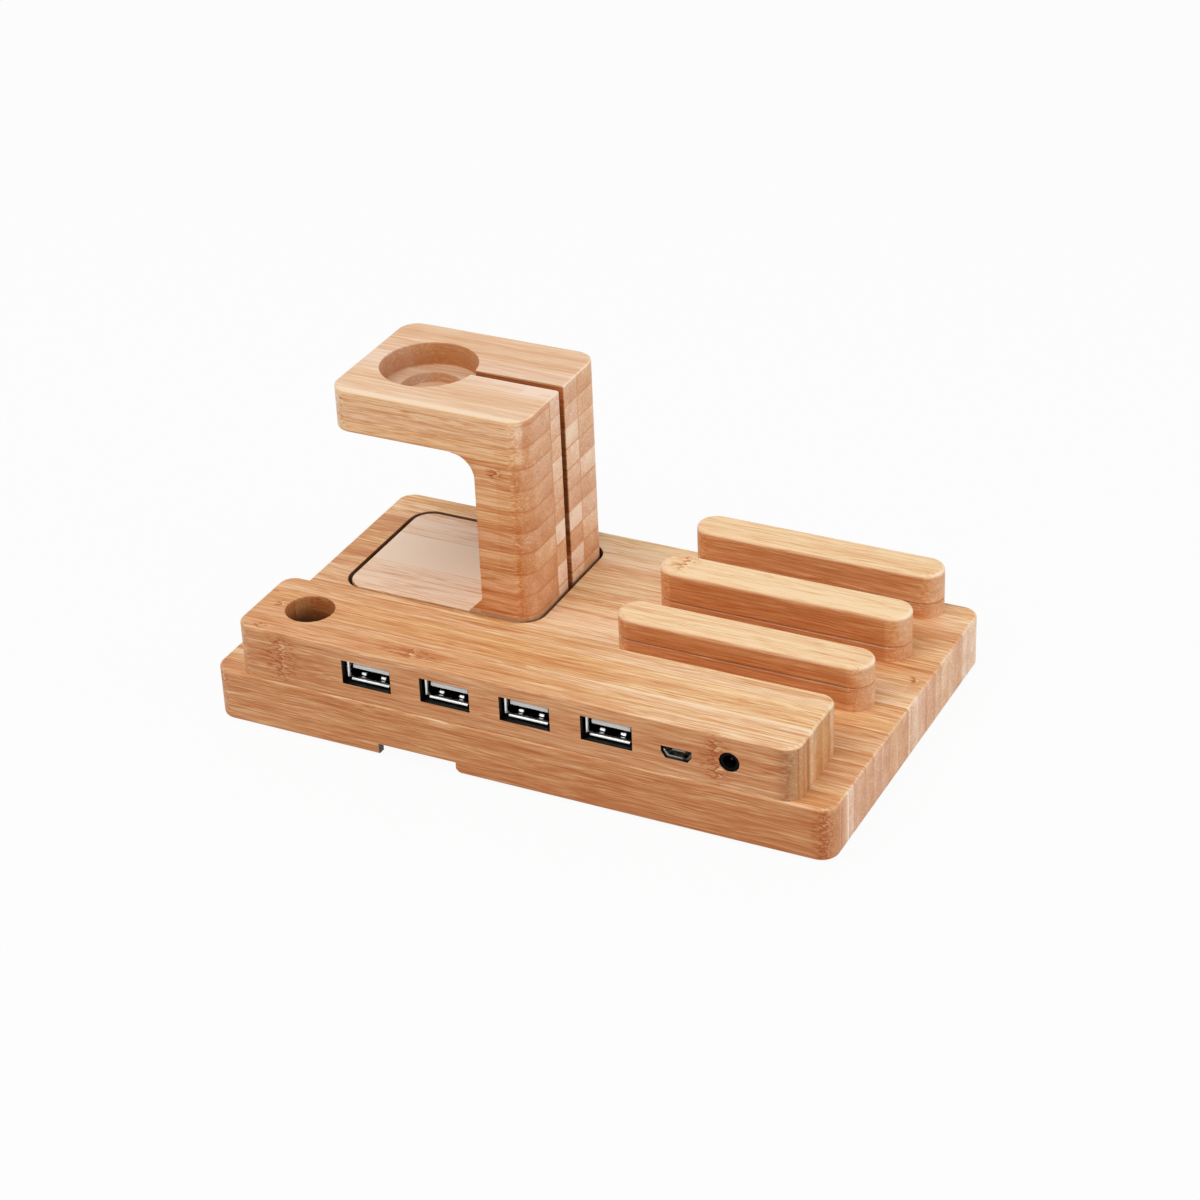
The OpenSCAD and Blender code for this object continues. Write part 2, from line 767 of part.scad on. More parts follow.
module usb_insulator(i) {
    inner_w = shell_w - 2 * shell_wall - 2 * slip;
    inner_h = shell_h - 2 * shell_wall - 2 * slip;
    color(white_plastic) translate([usb_x[i], usb_y, usb_z]) difference() {
        union() {
            translate([0, shell_len - block_len, 0])
                run_back(block_len) round_rect(inner_w, inner_h, shell_corner_r - shell_wall);
            run_across(tongue_w) polygon([[tongue_in, tongue_top - tongue_bevel],
                [tongue_in + tongue_bevel, tongue_top], [shell_len - slip, tongue_top],
                [shell_len - slip, tongue_low], [tongue_in + tongue_bevel, tongue_low],
                [tongue_in, tongue_low + tongue_bevel]]);
        }
        for (s = contact_x_shares)
            translate([s * tongue_w, shell_len, tongue_low - contact_t / 2])
                cube([contact_w + 2 * slip, 2 * block_len + 2 * overrun, contact_t], center = true);
    }
}

// Four flat contacts under the tongue, each with its pin down through the board
module usb_contacts(i) {
    pin_y = shell_len + pin_behind;
    low = -shell_h / 2 - board_t - pin_below;
    color(gilt) translate([usb_x[i], usb_y, usb_z])
        for (s = contact_x_shares) translate([s * tongue_w, 0, 0])
            run_across(contact_w) polygon([[tongue_in + contact_in, tongue_low],
                [pin_y + contact_t, tongue_low], [pin_y + contact_t, low], [pin_y, low],
                [pin_y, tongue_low - contact_t], [tongue_in + contact_in, tongue_low - contact_t]]);
}

module micro_usb_shell() {
    color(steel) translate([micro_x, micro_y, micro_z]) difference() {
        union() {
            run_back(micro_len) micro_outline(micro_w, micro_h);
            run_back(micro_flare_len)
                micro_outline(micro_w + 2 * micro_flare, micro_h + 2 * micro_flare);
        }
        translate([0, -overrun, 0]) run_back(micro_len + 2 * overrun)
            micro_outline(micro_w - 2 * micro_wall, micro_h - 2 * micro_wall);
    }
}

module micro_usb_insulator() {
    inner_w = micro_w - 2 * micro_wall - 2 * slip;
    inner_h = micro_h - 2 * micro_wall - 2 * slip;
    tongue_z = micro_tongue_t * micro_tongue_share;
    color(black_plastic) translate([micro_x, micro_y, micro_z]) difference() {
        union() {
            translate([0, micro_len - micro_block_len, 0])
                run_back(micro_block_len) micro_outline(inner_w, inner_h);
            translate([0, micro_tongue_in, tongue_z])
                run_back(micro_len - micro_tongue_in - slip)
                    square([micro_tongue_w, micro_tongue_t], center = true);
        }
        for (i = [0 : micro_contact_count - 1])
            translate([micro_contact_x(i), micro_len, tongue_z - (micro_tongue_t + micro_contact_t) / 2])
                cube([micro_contact_w + slip, 2 * micro_block_len + 2 * overrun, micro_contact_t],
                    center = true);
    }
}

function micro_contact_x(i) = (i - (micro_contact_count - 1) / 2) * micro_contact_pitch;

module micro_usb_contacts() {
    high = micro_tongue_t * micro_tongue_share - micro_tongue_t / 2;
    low = -micro_h / 2;
    back = micro_len + micro_contact_behind;
    color(gilt) translate([micro_x, micro_y, micro_z])
        for (i = [0 : micro_contact_count - 1]) translate([micro_contact_x(i), 0, 0])
            run_across(micro_contact_w) polygon([[micro_tongue_in + micro_wall, high],
                [back, high], [back, low + micro_contact_t], [back + micro_contact_behind,
                low + micro_contact_t], [back + micro_contact_behind, low],
                [back - micro_contact_t, low], [back - micro_contact_t, high - micro_contact_t],
                [micro_tongue_in + micro_wall, high - micro_contact_t]]);
}

// Black housing: round nose in the wood, square body on the board, bored for the plug
module dc_jack_housing() {
    bore_back = dc_back - dc_wall;
    color(black_plastic) difference() {
        union() {
            translate([dc_x, dc_y, dc_z]) run_back(dc_body_y + dc_wall - dc_y) circle(d = dc_nose_d);
            translate([dc_x - dc_body_w / 2, dc_body_y, board_top])
                cube([dc_body_w, dc_body_len, dc_body_h]);
        }
        translate([dc_x, dc_y - overrun, dc_z])
            run_back(bore_back - dc_y + overrun) circle(d = dc_bore_d);
        translate([dc_x, bore_back - overrun, dc_z])
            run_back(dc_wall + 2 * overrun) circle(d = dc_pin_d + 2 * slip);
        translate([dc_x - dc_spring_w / 2 - slip, dc_body_y + dc_spring_in, board_top - overrun])
            cube([dc_spring_w + 2 * slip, dc_body_len, dc_body_h / 2 - dc_bore_d / 2 + 2 * overrun]);
    }
}

// Centre pin of the power inlet, with a tail down to the board
module dc_jack_pin() {
    tail_y = dc_back + dc_leg_behind;
    tip = dc_y + dc_pin_in + dc_pin_d / 2;
    color(steel) {
        translate([dc_x, tip, dc_z]) run_back(tail_y - tip) circle(d = dc_pin_d);
        translate([dc_x, tip, dc_z]) rotate([90, 0, 0]) rotate_extrude() intersection() {
            circle(d = dc_pin_d);
            square(dc_pin_d);
        }
        translate([dc_x - dc_pin_d / 2, tail_y, board_top])
            cube([dc_pin_d, dc_leg_behind, dc_z - board_top + dc_pin_d / 2]);
    }
}

// Leaf that presses on the plug from below, with its own tail
module dc_jack_spring() {
    leaf_z = dc_z - dc_bore_d / 2 - dc_spring_t;
    front = dc_body_y + dc_spring_in + slip;
    back = dc_back - dc_wall;
    color(gilt) translate([dc_x, 0, 0]) run_across(dc_spring_w)
        polygon([[front, leaf_z + dc_spring_t], [back, leaf_z + dc_spring_t], [back, board_top],
            [back - dc_spring_t, board_top], [back - dc_spring_t, leaf_z], [front, leaf_z]]);
}

module hub_chip() {
    color(black_plastic) translate([chip_x - chip_w / 2, part_y - chip_d / 2, board_top + chip_rise])
        cube([chip_w, chip_d, chip_t]);
}

// Bent leads down both long sides of the chip
module hub_chip_leads() {
    pitch = chip_d / chip_lead_count;
    mid_z = chip_rise + chip_t / 2;
    knee = chip_lead_reach * chip_lead_foot_share;
    color(steel) for (side = [-1, 1], i = [0 : chip_lead_count - 1])
        translate([chip_x, part_y + (i - (chip_lead_count - 1) / 2) * pitch + chip_lead_w / 2,
            board_top]) rotate([90, 0, 0]) linear_extrude(chip_lead_w) scale([side, 1])
            translate([chip_w / 2, 0]) polygon([[0, mid_z], [knee + chip_lead_t, mid_z],
                [knee + chip_lead_t, chip_lead_t], [chip_lead_reach, chip_lead_t],
                [chip_lead_reach, 0], [knee, 0], [knee, mid_z - chip_lead_t],
                [0, mid_z - chip_lead_t]]);
}

// Metal can with a rim round its foot
module crystal() {
    color(steel) translate([crystal_x, part_y, board_top]) {
        linear_extrude(crystal_rim) round_rect(crystal_w + 2 * crystal_rim,
            crystal_d + 2 * crystal_rim, crystal_w / 2 + crystal_rim);
        linear_extrude(crystal_h) round_rect(crystal_w, crystal_d, crystal_w / 2);
    }
}

module smoothing_capacitors() {
    for (s = [-1, 1]) translate([capacitor_x, part_y + s * capacitor_pitch / 2, board_top]) {
        color(black_plastic) linear_extrude(capacitor_base_t)
            round_rect(capacitor_d, capacitor_d, capacitor_ease);
        color(steel) rotate_extrude()
            half_section(capacitor_d / 2, capacitor_h, capacitor_ease, 0);
    }
}

module chip_resistors() {
    color(black_plastic) for (i = [0 : resistor_count - 1])
        translate([chip_x + (i - (resistor_count - 1) / 2) * resistor_pitch,
            board_y + board_d - resistor_back_in, board_top + resistor_t / 2])
            cube([resistor_w, resistor_d, resistor_t], center = true);
}

// Spool-shaped core between two square plates
module power_inductor() {
    plate = inductor_h * inductor_plate_share;
    color(rubber_grey) translate([inductor_x, part_y, board_top]) {
        for (z = [0, inductor_h - plate]) translate([0, 0, z]) linear_extrude(plate)
            round_rect(inductor_w, inductor_w, plate);
        cylinder(d = inductor_w * (inductor_core_share + inductor_plate_share), h = inductor_h);
    }
}

base_board();
hub_rail();
divider(divider_front_y, seam_front_share);  // divider_front
divider(divider_middle_y, seam_middle_share);  // divider_middle
divider(divider_rear_y, seam_rear_share);  // divider_rear
watch_stand();
divider_dowels();
rail_dowels();
hub_cover();
cover_screws();
rubber_feet();
circuit_board();
board_screws();
usb_shell(0);  // usb_shell_1
usb_shell(1);  // usb_shell_2
usb_shell(2);  // usb_shell_3
usb_shell(3);  // usb_shell_4
usb_insulator(0);  // usb_insulator_1
usb_insulator(1);  // usb_insulator_2
usb_insulator(2);  // usb_insulator_3
usb_insulator(3);  // usb_insulator_4
usb_contacts(0);  // usb_contacts_1
usb_contacts(1);  // usb_contacts_2
usb_contacts(2);  // usb_contacts_3
usb_contacts(3);  // usb_contacts_4
micro_usb_shell();
micro_usb_insulator();
micro_usb_contacts();
dc_jack_housing();
dc_jack_pin();
dc_jack_spring();
hub_chip();
hub_chip_leads();
crystal();
smoothing_capacitors();
chip_resistors();
power_inductor();
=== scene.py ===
"""Bamboo charging station organizer: its finishes, solder joints, screw threads, lights and camera."""

import math

import bmesh
import bpy
from bpy.props import FloatProperty, FloatVectorProperty, PointerProperty
from bpy.types import Operator, Panel, PropertyGroup
from mathutils import Matrix, Vector


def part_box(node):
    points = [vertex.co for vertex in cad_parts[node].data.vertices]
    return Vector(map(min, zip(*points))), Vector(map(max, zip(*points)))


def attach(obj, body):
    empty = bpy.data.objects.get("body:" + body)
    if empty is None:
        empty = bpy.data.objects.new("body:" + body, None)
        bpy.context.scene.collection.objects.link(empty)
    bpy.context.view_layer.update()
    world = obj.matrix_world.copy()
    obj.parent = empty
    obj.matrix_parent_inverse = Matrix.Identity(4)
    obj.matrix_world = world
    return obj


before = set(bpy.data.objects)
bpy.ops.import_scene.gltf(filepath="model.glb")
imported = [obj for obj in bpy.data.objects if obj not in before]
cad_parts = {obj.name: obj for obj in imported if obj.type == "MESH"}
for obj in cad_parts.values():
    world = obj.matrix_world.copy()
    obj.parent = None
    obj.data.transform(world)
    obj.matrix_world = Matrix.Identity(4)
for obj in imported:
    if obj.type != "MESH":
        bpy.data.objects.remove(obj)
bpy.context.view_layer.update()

bl_info = {
    "name": "Bamboo Charging Station",
    "version": (1, 0, 0),
    "blender": (4, 5, 0),
    "location": "View3D > Sidebar > Station",
    "description": "Finishes a bamboo charging station with its hub, watch stand and dividers",
    "category": "Object",
}

MATH, VEC, RANGE = "ShaderNodeMath", "ShaderNodeVectorMath", "ShaderNodeMapRange"
MIX, NOISE, VORONOI = "ShaderNodeMix", "ShaderNodeTexNoise", "ShaderNodeTexVoronoi"
SPLIT, JOIN, DICE = "ShaderNodeSeparateXYZ", "ShaderNodeCombineXYZ", "ShaderNodeTexWhiteNoise"
SOFT = {"interpolation_type": "SMOOTHSTEP"}
BLEND = {"out": 2, "data_type": "RGBA"}
FUSED = {"operation": "MULTIPLY_ADD"}
SOCKETS = (1, 2, 3, 4)
SOCKET_X = (-43.2, -19.2, 4.8, 28.8)
# Darkest and palest tone of the bamboo, and what a tone of 1 does to its red, green and blue
DARKEST, PALEST = -0.7, 0.45
PALER = (1.92, 4.48, 10.5)
METAL = {"Metallic": 1.0}
# The floor's half size and how far it lies under the feet, in metres, and how much of its white is its own
FLOOR_HALF, FLOOR_DROP, FLOOR_GLOW = 4, 0.0001, 0.95


def linear(code):
    """Linear colour of an sRGB hex code."""
    parts = [int(code[i : i + 2], 16) / 255 for i in (1, 3, 5)]
    parts = [c / 12.92 if c <= 0.04045 else ((c + 0.055) / 1.055) ** 2.4 for c in parts]
    return (*parts, 1.0)


def add(tree, kind, inputs=None, out=0, **settings):
    """Adds a node with its settings, feeds its inputs with values or sockets, returns an output."""
    node = tree.nodes.new(kind)
    for name, value in settings.items():
        setattr(node, name, value)
    for key, value in (inputs or {}).items():
        if isinstance(value, bpy.types.NodeSocket):
            tree.links.new(value, node.inputs[key])
        else:
            node.inputs[key].default_value = value
    return node.outputs[out] if node.outputs else node


def start_material(name, **values):
    """A material with its Principled shader's own sockets set, its tree and its shader."""
    material = bpy.data.materials.new(name)
    material.use_nodes = True
    shader = material.node_tree.nodes["Principled BSDF"]
    for socket, value in values.items():
        shader.inputs[socket.replace("_", " ")].default_value = value
    return material, material.node_tree, shader


def start_group(name, kind, inputs, outputs):
    """A node group with inputs (name, socket, value) and outputs (name, socket), and its input sockets."""
    tree = bpy.data.node_groups.new(name, kind)
    for label, socket, value in inputs:
        item = tree.interface.new_socket(label, in_out="INPUT", socket_type="NodeSocket" + socket)
        if value is not None:
            item.default_value = value
    for label, socket in outputs:
        tree.interface.new_socket(label, in_out="OUTPUT", socket_type="NodeSocket" + socket)
    return tree, tree.nodes.new("NodeGroupInput").outputs


def kept_tree(name, build):
    """The node tree of that name, built on its first use."""
    return bpy.data.node_groups.get(name) or build()


def seen(tree):
    """1 for rays from the camera, off a glossy face or through glass, which see plain white."""
    rays = add(tree, "ShaderNodeLightPath").node.outputs
    sight = add(tree, MATH, {0: rays["Is Camera Ray"], 1: rays["Is Glossy Ray"]}, operation="MAXIMUM")
    return add(tree, MATH, {0: sight, 1: rays["Is Transmission Ray"]}, operation="MAXIMUM")


def millimetres(tree):
    """Object coordinates in millimetres."""
    place = add(tree, "ShaderNodeTexCoord", out="Object")
    return add(tree, VEC, {0: place, "Scale": 1000.0}, operation="SCALE")


def surface(tree, shader, colour, height, strength, depth):
    """Feeds a shader its colour, and a relief from a height, with its strength and its depth in mm."""
    tree.links.new(colour, shader.inputs["Base Color"])
    bump = add(tree, "ShaderNodeBump", {"Strength": strength, "Distance": depth / 1000, "Height": height})
    tree.links.new(bump, shader.inputs["Normal"])


def dress(names, material):
    """Gives a material to CAD nodes."""
    for name in names:
        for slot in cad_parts[name].material_slots:
            slot.material = material


def box_mask():
    """Node group that is 1 inside a box given in mm and fades out over its softness."""
    tree, given = start_group("Box mask", "ShaderNodeTree", (
        ("Place", "Vector", (0, 0, 0)), ("Centre", "Vector", (0, 0, 0)), ("Half Size", "Vector", (1, 1, 1)),
        ("Softness", "Vector", (0.2, 0.2, 0.2))), (("Mask", "Float"),))
    away = add(tree, VEC, {0: given["Place"], 1: given["Centre"]}, operation="SUBTRACT")
    away = add(tree, VEC, {0: away}, operation="ABSOLUTE")
    inside = add(tree, VEC, {0: given["Half Size"], 1: away}, operation="SUBTRACT")
    inside = add(tree, VEC, {0: inside, 1: given["Softness"]}, operation="DIVIDE")
    x, y, z = add(tree, SPLIT, {0: inside}).node.outputs
    depth = add(tree, MATH, {0: x, 1: y}, operation="MINIMUM")
    depth = add(tree, MATH, {0: depth, 1: z}, operation="MINIMUM")
    mask = add(tree, RANGE, {0: depth, 1: 0.0, 2: 1.0}, **SOFT)
    add(tree, "NodeGroupOutput", {"Mask": mask})
    return tree


def masked(tree, place, box, softness):
    """Mask of a box (x0, y0, z0, x1, y1, z1) in mm, with one softness or one for each axis."""
    centre = [(low + high) / 2 for low, high in zip(box[:3], box[3:])]
    half = [(high - low) / 2 for low, high in zip(box[:3], box[3:])]
    soft = softness if isinstance(softness, tuple) else (softness,) * 3
    fed = {"Place": place, "Centre": centre, "Half Size": half, "Softness": soft}
    return add(tree, "ShaderNodeGroup", fed, node_tree=kept_tree("Box mask", box_mask))


def gather(tree, total, parts):
    """Adds (source - middle) * amount to a total for each part (source, middle, amount)."""
    for source, middle, amount in parts:
        source = add(tree, MATH, {0: source, 1: middle}, operation="SUBTRACT")
        total = add(tree, MATH, {0: source, 1: amount, 2: total}, **FUSED)
    return total


def bamboo_grain():
    """Node group with the colour, roughness and relief of glued bamboo strips that run along X."""
    tree, given = start_group("Bamboo grain", "ShaderNodeTree", (
        ("Place", "Vector", (0, 0, 0)), ("Flat", "Color", (0.7, 0.4, 0.2, 1)), ("Edge", "Color", (0.7, 0.4, 0.2, 1)),
        ("End", "Color", (0.6, 0.4, 0.25, 1)), ("Strip Width", "Float", 5.6), ("Strip Base", "Float", 0.0),
        ("Strip Unevenness", "Float", 0.6), ("Course Height", "Float", 400.0), ("Course Base", "Float", 0.0),
        ("Joint Width", "Float", 0.3), ("Joint Contrast", "Float", 0.2), ("Strip Contrast", "Float", 0.26),
        ("Lean", "Float", 0.2), ("Course Lean", "Float", 0.0), ("Line Contrast", "Float", 0.8),
        ("Speckle", "Float", 0.14), ("Hue Spread", "Float", 0.35), ("Shade", "Float", 0.0), ("Knots", "Float", 0.0),
        ("Knot Place", "Float", 0.0), ("Seed", "Float", 0.0),
    ), (("Color", "Color"), ("Roughness", "Float"), ("Height", "Float")))
    x, y, z = add(tree, SPLIT, {0: given["Place"]}).node.outputs
    turned = add(tree, VEC, {0: add(tree, "ShaderNodeTexCoord", out="Normal")}, operation="ABSOLUTE")
    nx, _, nz = add(tree, SPLIT, {0: turned}).node.outputs

    # The strips wander a little along the board
    slow = add(tree, VEC, {0: given["Place"], 1: (0.006, 0.05, 0.05)}, operation="MULTIPLY")
    slow = add(tree, VEC, {0: slow, 1: given["Seed"]}, operation="ADD")
    sway = add(tree, "ShaderNodeSeparateColor", {0: add(tree, NOISE, {"Vector": slow, "Detail": 1.0}, out="Color")})
    sway = sway.node.outputs
    wander_y = add(tree, MATH, {0: sway[0], 1: 2.4, 2: y}, **FUSED)
    wander_z = add(tree, MATH, {0: sway[1], 1: 2.4, 2: z}, **FUSED)

    # Strips of uneven width across, and courses upwards
    flat = add(tree, MATH, {0: nz, 1: 2.0}, operation="POWER")
    under = add(tree, MATH, {0: nz, 1: -0.25, 2: z}, **FUSED)
    row = add(tree, MATH, {0: under, 1: given["Course Base"]}, operation="SUBTRACT")
    row = add(tree, MATH, {0: row, 1: given["Course Height"]}, operation="DIVIDE")
    row_id = add(tree, MATH, {0: row}, operation="FLOOR")
    column = add(tree, MATH, {0: y, 1: given["Strip Base"]}, operation="SUBTRACT")
    column = add(tree, MATH, {0: column, 1: given["Strip Width"]}, operation="DIVIDE")
    cells = {"W": column, "Scale": 1.0, "Randomness": given["Strip Unevenness"]}
    middle = add(tree, VORONOI, cells, out="W", voronoi_dimensions="1D")
    across = add(tree, VORONOI, cells, out="Distance", voronoi_dimensions="1D", feature="DISTANCE_TO_EDGE")
    across = add(tree, MATH, {0: across, 1: given["Strip Width"]}, operation="MULTIPLY")
    lean = add(tree, MATH, {0: column, 1: middle}, operation="SUBTRACT")
    cell = add(tree, JOIN, {0: middle, 1: row_id, 2: given["Seed"]})
    dice = add(tree, "ShaderNodeSeparateColor", {0: add(tree, DICE, {0: cell}, out="Color")}).node.outputs
    red, green, blue = dice[:3]
    upwards = add(tree, MATH, {0: row, 1: 0.5}, operation="PINGPONG")
    upwards = add(tree, MATH, {0: upwards, 1: given["Course Height"]}, operation="MULTIPLY")
    upwards = add(tree, MATH, {0: flat, 1: 5.0, 2: upwards}, **FUSED)
    joint = add(tree, MATH, {0: across, 1: upwards}, operation="MINIMUM")
    joint = add(tree, RANGE, {0: joint, 1: 0.03, 2: given["Joint Width"], 3: 1.0, 4: 0.0}, **SOFT)
    dip = add(tree, MATH, {0: row, 1: row_id}, operation="SUBTRACT")

    # Fibres: long thin streaks, which show as lines on the sides and as dots on the ends
    slid = add(tree, MATH, {0: red, 1: 60.0}, operation="MULTIPLY")
    along = add(tree, MATH, {0: x, 1: 0.01, 2: slid}, **FUSED)
    drawn = add(tree, JOIN, {0: along, 1: wander_y, 2: wander_z})
    band = add(tree, NOISE, {"Vector": drawn, "Scale": 0.5, "Detail": 2.0, "Roughness": 0.55})
    short = add(tree, VEC, {0: drawn, 1: (2.6, 1.0, 1.0)}, operation="MULTIPLY")
    fine = add(tree, NOISE, {"Vector": short, "Scale": 2.6, "Detail": 3.0, "Roughness": 0.65})
    crease = add(tree, NOISE, {"Vector": drawn, "Scale": 0.8, "Detail": 2.0, "Roughness": 0.5})
    crease = add(tree, MATH, {0: crease, 1: 0.47}, operation="SUBTRACT")
    crease = add(tree, MATH, {0: crease}, operation="ABSOLUTE")
    crease = add(tree, RANGE, {0: crease, 1: 0.0, 2: 0.028, 3: 1.0, 4: 0.0}, **SOFT)
    bundle = add(tree, VORONOI, {"Vector": drawn, "Scale": 1.05}, out="Distance")
    bundle = add(tree, RANGE, {0: bundle, 1: 0.15, 2: 0.5, 3: 1.0, 4: 0.0}, **SOFT)
    cloud = add(tree, VEC, {0: drawn, 1: (0.4, 0.16, 0.16)}, operation="MULTIPLY")
    cloud = add(tree, NOISE, {"Vector": cloud, "Scale": 1.0, "Detail": 1.0})

    # Knots: torn grain that ends in teeth, with short dark ticks on both sides
    jitter = add(tree, NOISE, {"Vector": given["Place"], "Scale": 0.5, "Detail": 1.0})
    tooth = add(tree, MATH, {0: y, 1: z}, operation="ADD")
    tooth = add(tree, MATH, {0: jitter, 1: 3.0, 2: tooth}, **FUSED)
    tooth = add(tree, MATH, {0: tooth, 1: 1.1}, operation="PINGPONG")
    tooth = add(tree, MATH, {0: tooth, 1: 1.5, 2: given["Knot Place"]}, **FUSED)
    seam = add(tree, MATH, {0: tooth, 1: 0.5, 2: 0.5}, operation="COMPARE")
    rim = add(tree, MATH, {0: tooth, 1: 1.4, 2: 0.4}, operation="COMPARE")
    core = add(tree, RANGE, {0: given["Knots"], 1: 0.55, 2: 0.85}, **SOFT)
    seam = add(tree, MATH, {0: seam, 1: core}, operation="MULTIPLY")
    rim = add(tree, MATH, {0: rim, 1: core}, operation="MULTIPLY")
    ticks = add(tree, VEC, {0: given["Place"], 1: (0.4, 1.5, 1.5)}, operation="MULTIPLY")
    ticks = add(tree, NOISE, {"Vector": ticks, "Scale": 1.0, "Detail": 2.0})
    ticks = add(tree, RANGE, {0: ticks, 1: 0.5, 2: 0.6}, **SOFT)
    ticks = add(tree, MATH, {0: ticks, 1: given["Knots"]}, operation="MULTIPLY")

    # Tone of each spot, from dark fibre to pale pith. The ends are sanded smoother than the sides
    end = add(tree, RANGE, {0: nx, 1: 0.3, 2: 0.85}, **SOFT)
    quiet = add(tree, MATH, {0: end, 1: -0.6, 2: 1.0}, **FUSED)
    quiet = add(tree, MATH, {0: quiet, 1: given["Line Contrast"]}, operation="MULTIPLY")
    way = add(tree, MATH, {0: green, 1: 0.5}, operation="GREATER_THAN")
    way = add(tree, MATH, {0: way, 1: 2.0, 2: -1.0}, **FUSED)
    way = add(tree, MATH, {0: way, 1: given["Lean"]}, operation="MULTIPLY")
    lines = gather(tree, 0.0, ((band, 0.5, 0.7), (fine, 0.5, 2.3), (crease, 0.2, -0.22)))
    dark_joint = add(tree, MATH, {0: given["Joint Contrast"], 1: -1.0}, operation="MULTIPLY")
    # Painted highlight: eased edges, whose normal leans about 45° between top and side, are painted paler
    ridge = add(tree, MATH, {0: nz, 1: 0.7}, operation="SUBTRACT")
    ridge = add(tree, MATH, {0: ridge}, operation="ABSOLUTE")
    ridge = add(tree, RANGE, {0: ridge, 1: 0.1, 2: 0.35, 3: 1.0, 4: 0.0}, **SOFT)
    tone = gather(tree, given["Shade"], (
        (red, 0.5, given["Strip Contrast"]), (lean, 0.0, way), (dip, 0.5, given["Course Lean"]), (lines, 0.0, quiet),
        (bundle, 0.3, given["Speckle"]), (cloud, 0.5, 0.4), (joint, 0.0, dark_joint), (ticks, 0.0, -0.5),
        (seam, 0.0, -0.4), (rim, 0.0, 0.25), (given["Knots"], 0.0, -0.06), (ridge, 0.0, 0.12)))

    body = add(tree, MIX, {0: flat, 6: given["Edge"], 7: given["Flat"]}, **BLEND)
    body = add(tree, MIX, {0: end, 6: body, 7: given["End"]}, **BLEND)
    hue = add(tree, MIX, {0: blue, 6: (1.03, 1.0, 0.82, 1), 7: (0.98, 0.98, 1.2, 1)}, **BLEND)
    body = add(tree, MIX, {0: given["Hue Spread"], 6: body, 7: hue}, blend_type="MULTIPLY", **BLEND)
    # Paler bamboo gains more green than red, and more blue than green
    tone = add(tree, MATH, {0: tone, 1: PALEST}, operation="MINIMUM")
    tone = add(tree, MATH, {0: tone, 1: DARKEST}, operation="MAXIMUM")
    tint = add(tree, VEC, {0: PALER, 1: tone}, operation="POWER")
    colour = add(tree, VEC, {0: body, 1: tint}, operation="MULTIPLY")
    rough = add(tree, RANGE, {0: fine, 1: 0.3, 2: 0.7, 3: 0.5, 4: 0.38})
    relief = add(tree, MATH, {0: bundle, 1: -0.4, 2: fine}, **FUSED)
    for source, amount in ((ticks, -1.0), (seam, -1.0), (crease, -0.5), (joint, dark_joint)):
        relief = add(tree, MATH, {0: source, 1: amount, 2: relief}, **FUSED)
    add(tree, "NodeGroupOutput", {"Color": colour, "Roughness": rough, "Height": relief})
    return tree


def pressed_bamboo(nodes, name, knots=(), shades=(), stains_and_painted_light=(), calm=(), step=None, **inputs):
    """Dresses nodes in pressed, glued bamboo, sanded and oiled: fine fibres along X, a low satin sheen.

    In mm: knots are (centre, half size), shades are (box, tone shift, softness), stains are (box,
    colour, softness, share), calm are (box, softness) where the grain is faint, and step is (y, drop), in
    front of which the courses lie lower."""
    material, tree, shader = start_material(name, Roughness=0.45, Specular_IOR_Level=0.35)
    place = millimetres(tree)
    fed = {key.replace("_", " "): value for key, value in inputs.items()}
    fed["Place"] = place
    x, y, _ = add(tree, SPLIT, {0: place}).node.outputs
    if step:
        ahead = add(tree, MATH, {0: y, 1: step[0]}, operation="LESS_THAN")
        fed["Course Base"] = add(tree, MATH, {0: ahead, 1: -step[1], 2: inputs["Course_Base"]}, **FUSED)
    knot, spot = 0.0, 0.0
    for centre, half in knots:
        away = add(tree, VEC, {0: place, 1: centre}, operation="SUBTRACT")
        away = add(tree, VEC, {0: away, 1: half}, operation="DIVIDE")
        away = add(tree, VEC, {0: away}, out="Value", operation="LENGTH")
        near = add(tree, RANGE, {0: away, 1: 0.3, 2: 1.0, 3: 1.0, 4: 0.0}, **SOFT)
        inside = add(tree, MATH, {0: away, 1: 1.0}, operation="LESS_THAN")
        off = add(tree, MATH, {0: x, 1: centre[0]}, operation="SUBTRACT")
        off = add(tree, MATH, {0: off, 1: inside}, operation="MULTIPLY")
        knot = add(tree, MATH, {0: knot, 1: near}, operation="MAXIMUM")
        spot = add(tree, MATH, {0: spot, 1: off}, operation="ADD")
    fed["Knots"], fed["Knot Place"] = knot, spot
    fed["Shade"] = 0.0
    for corners, amount, softness in shades:
        mask = masked(tree, place, corners, softness)
        fed["Shade"] = add(tree, MATH, {0: mask, 1: amount, 2: fed["Shade"]}, **FUSED)
    for corners, softness in calm:
        mask = masked(tree, place, corners, softness)
        for key, share in (("Line Contrast", -0.6), ("Joint Contrast", -0.85), ("Strip Contrast", -0.7)):
            left = add(tree, MATH, {0: mask, 1: share, 2: 1.0}, **FUSED)
            fed[key] = add(tree, MATH, {0: left, 1: fed[key]}, operation="MULTIPLY")
    colour = add(tree, "ShaderNodeGroup", fed, node_tree=kept_tree("Bamboo grain", bamboo_grain))
    grain = colour.node.outputs
    # Each box mixes a colour in: real stains, painted shade and painted light alike
    for corners, painted, softness, share in stains_and_painted_light:
        mask = add(tree, MATH, {0: masked(tree, place, corners, softness), 1: share}, operation="MULTIPLY")
        colour = add(tree, MIX, {0: mask, 6: colour, 7: linear(painted)}, **BLEND)
    tree.links.new(grain["Roughness"], shader.inputs["Roughness"])
    surface(tree, shader, colour, grain["Height"], 0.25, 0.12)
    dress(nodes, material)


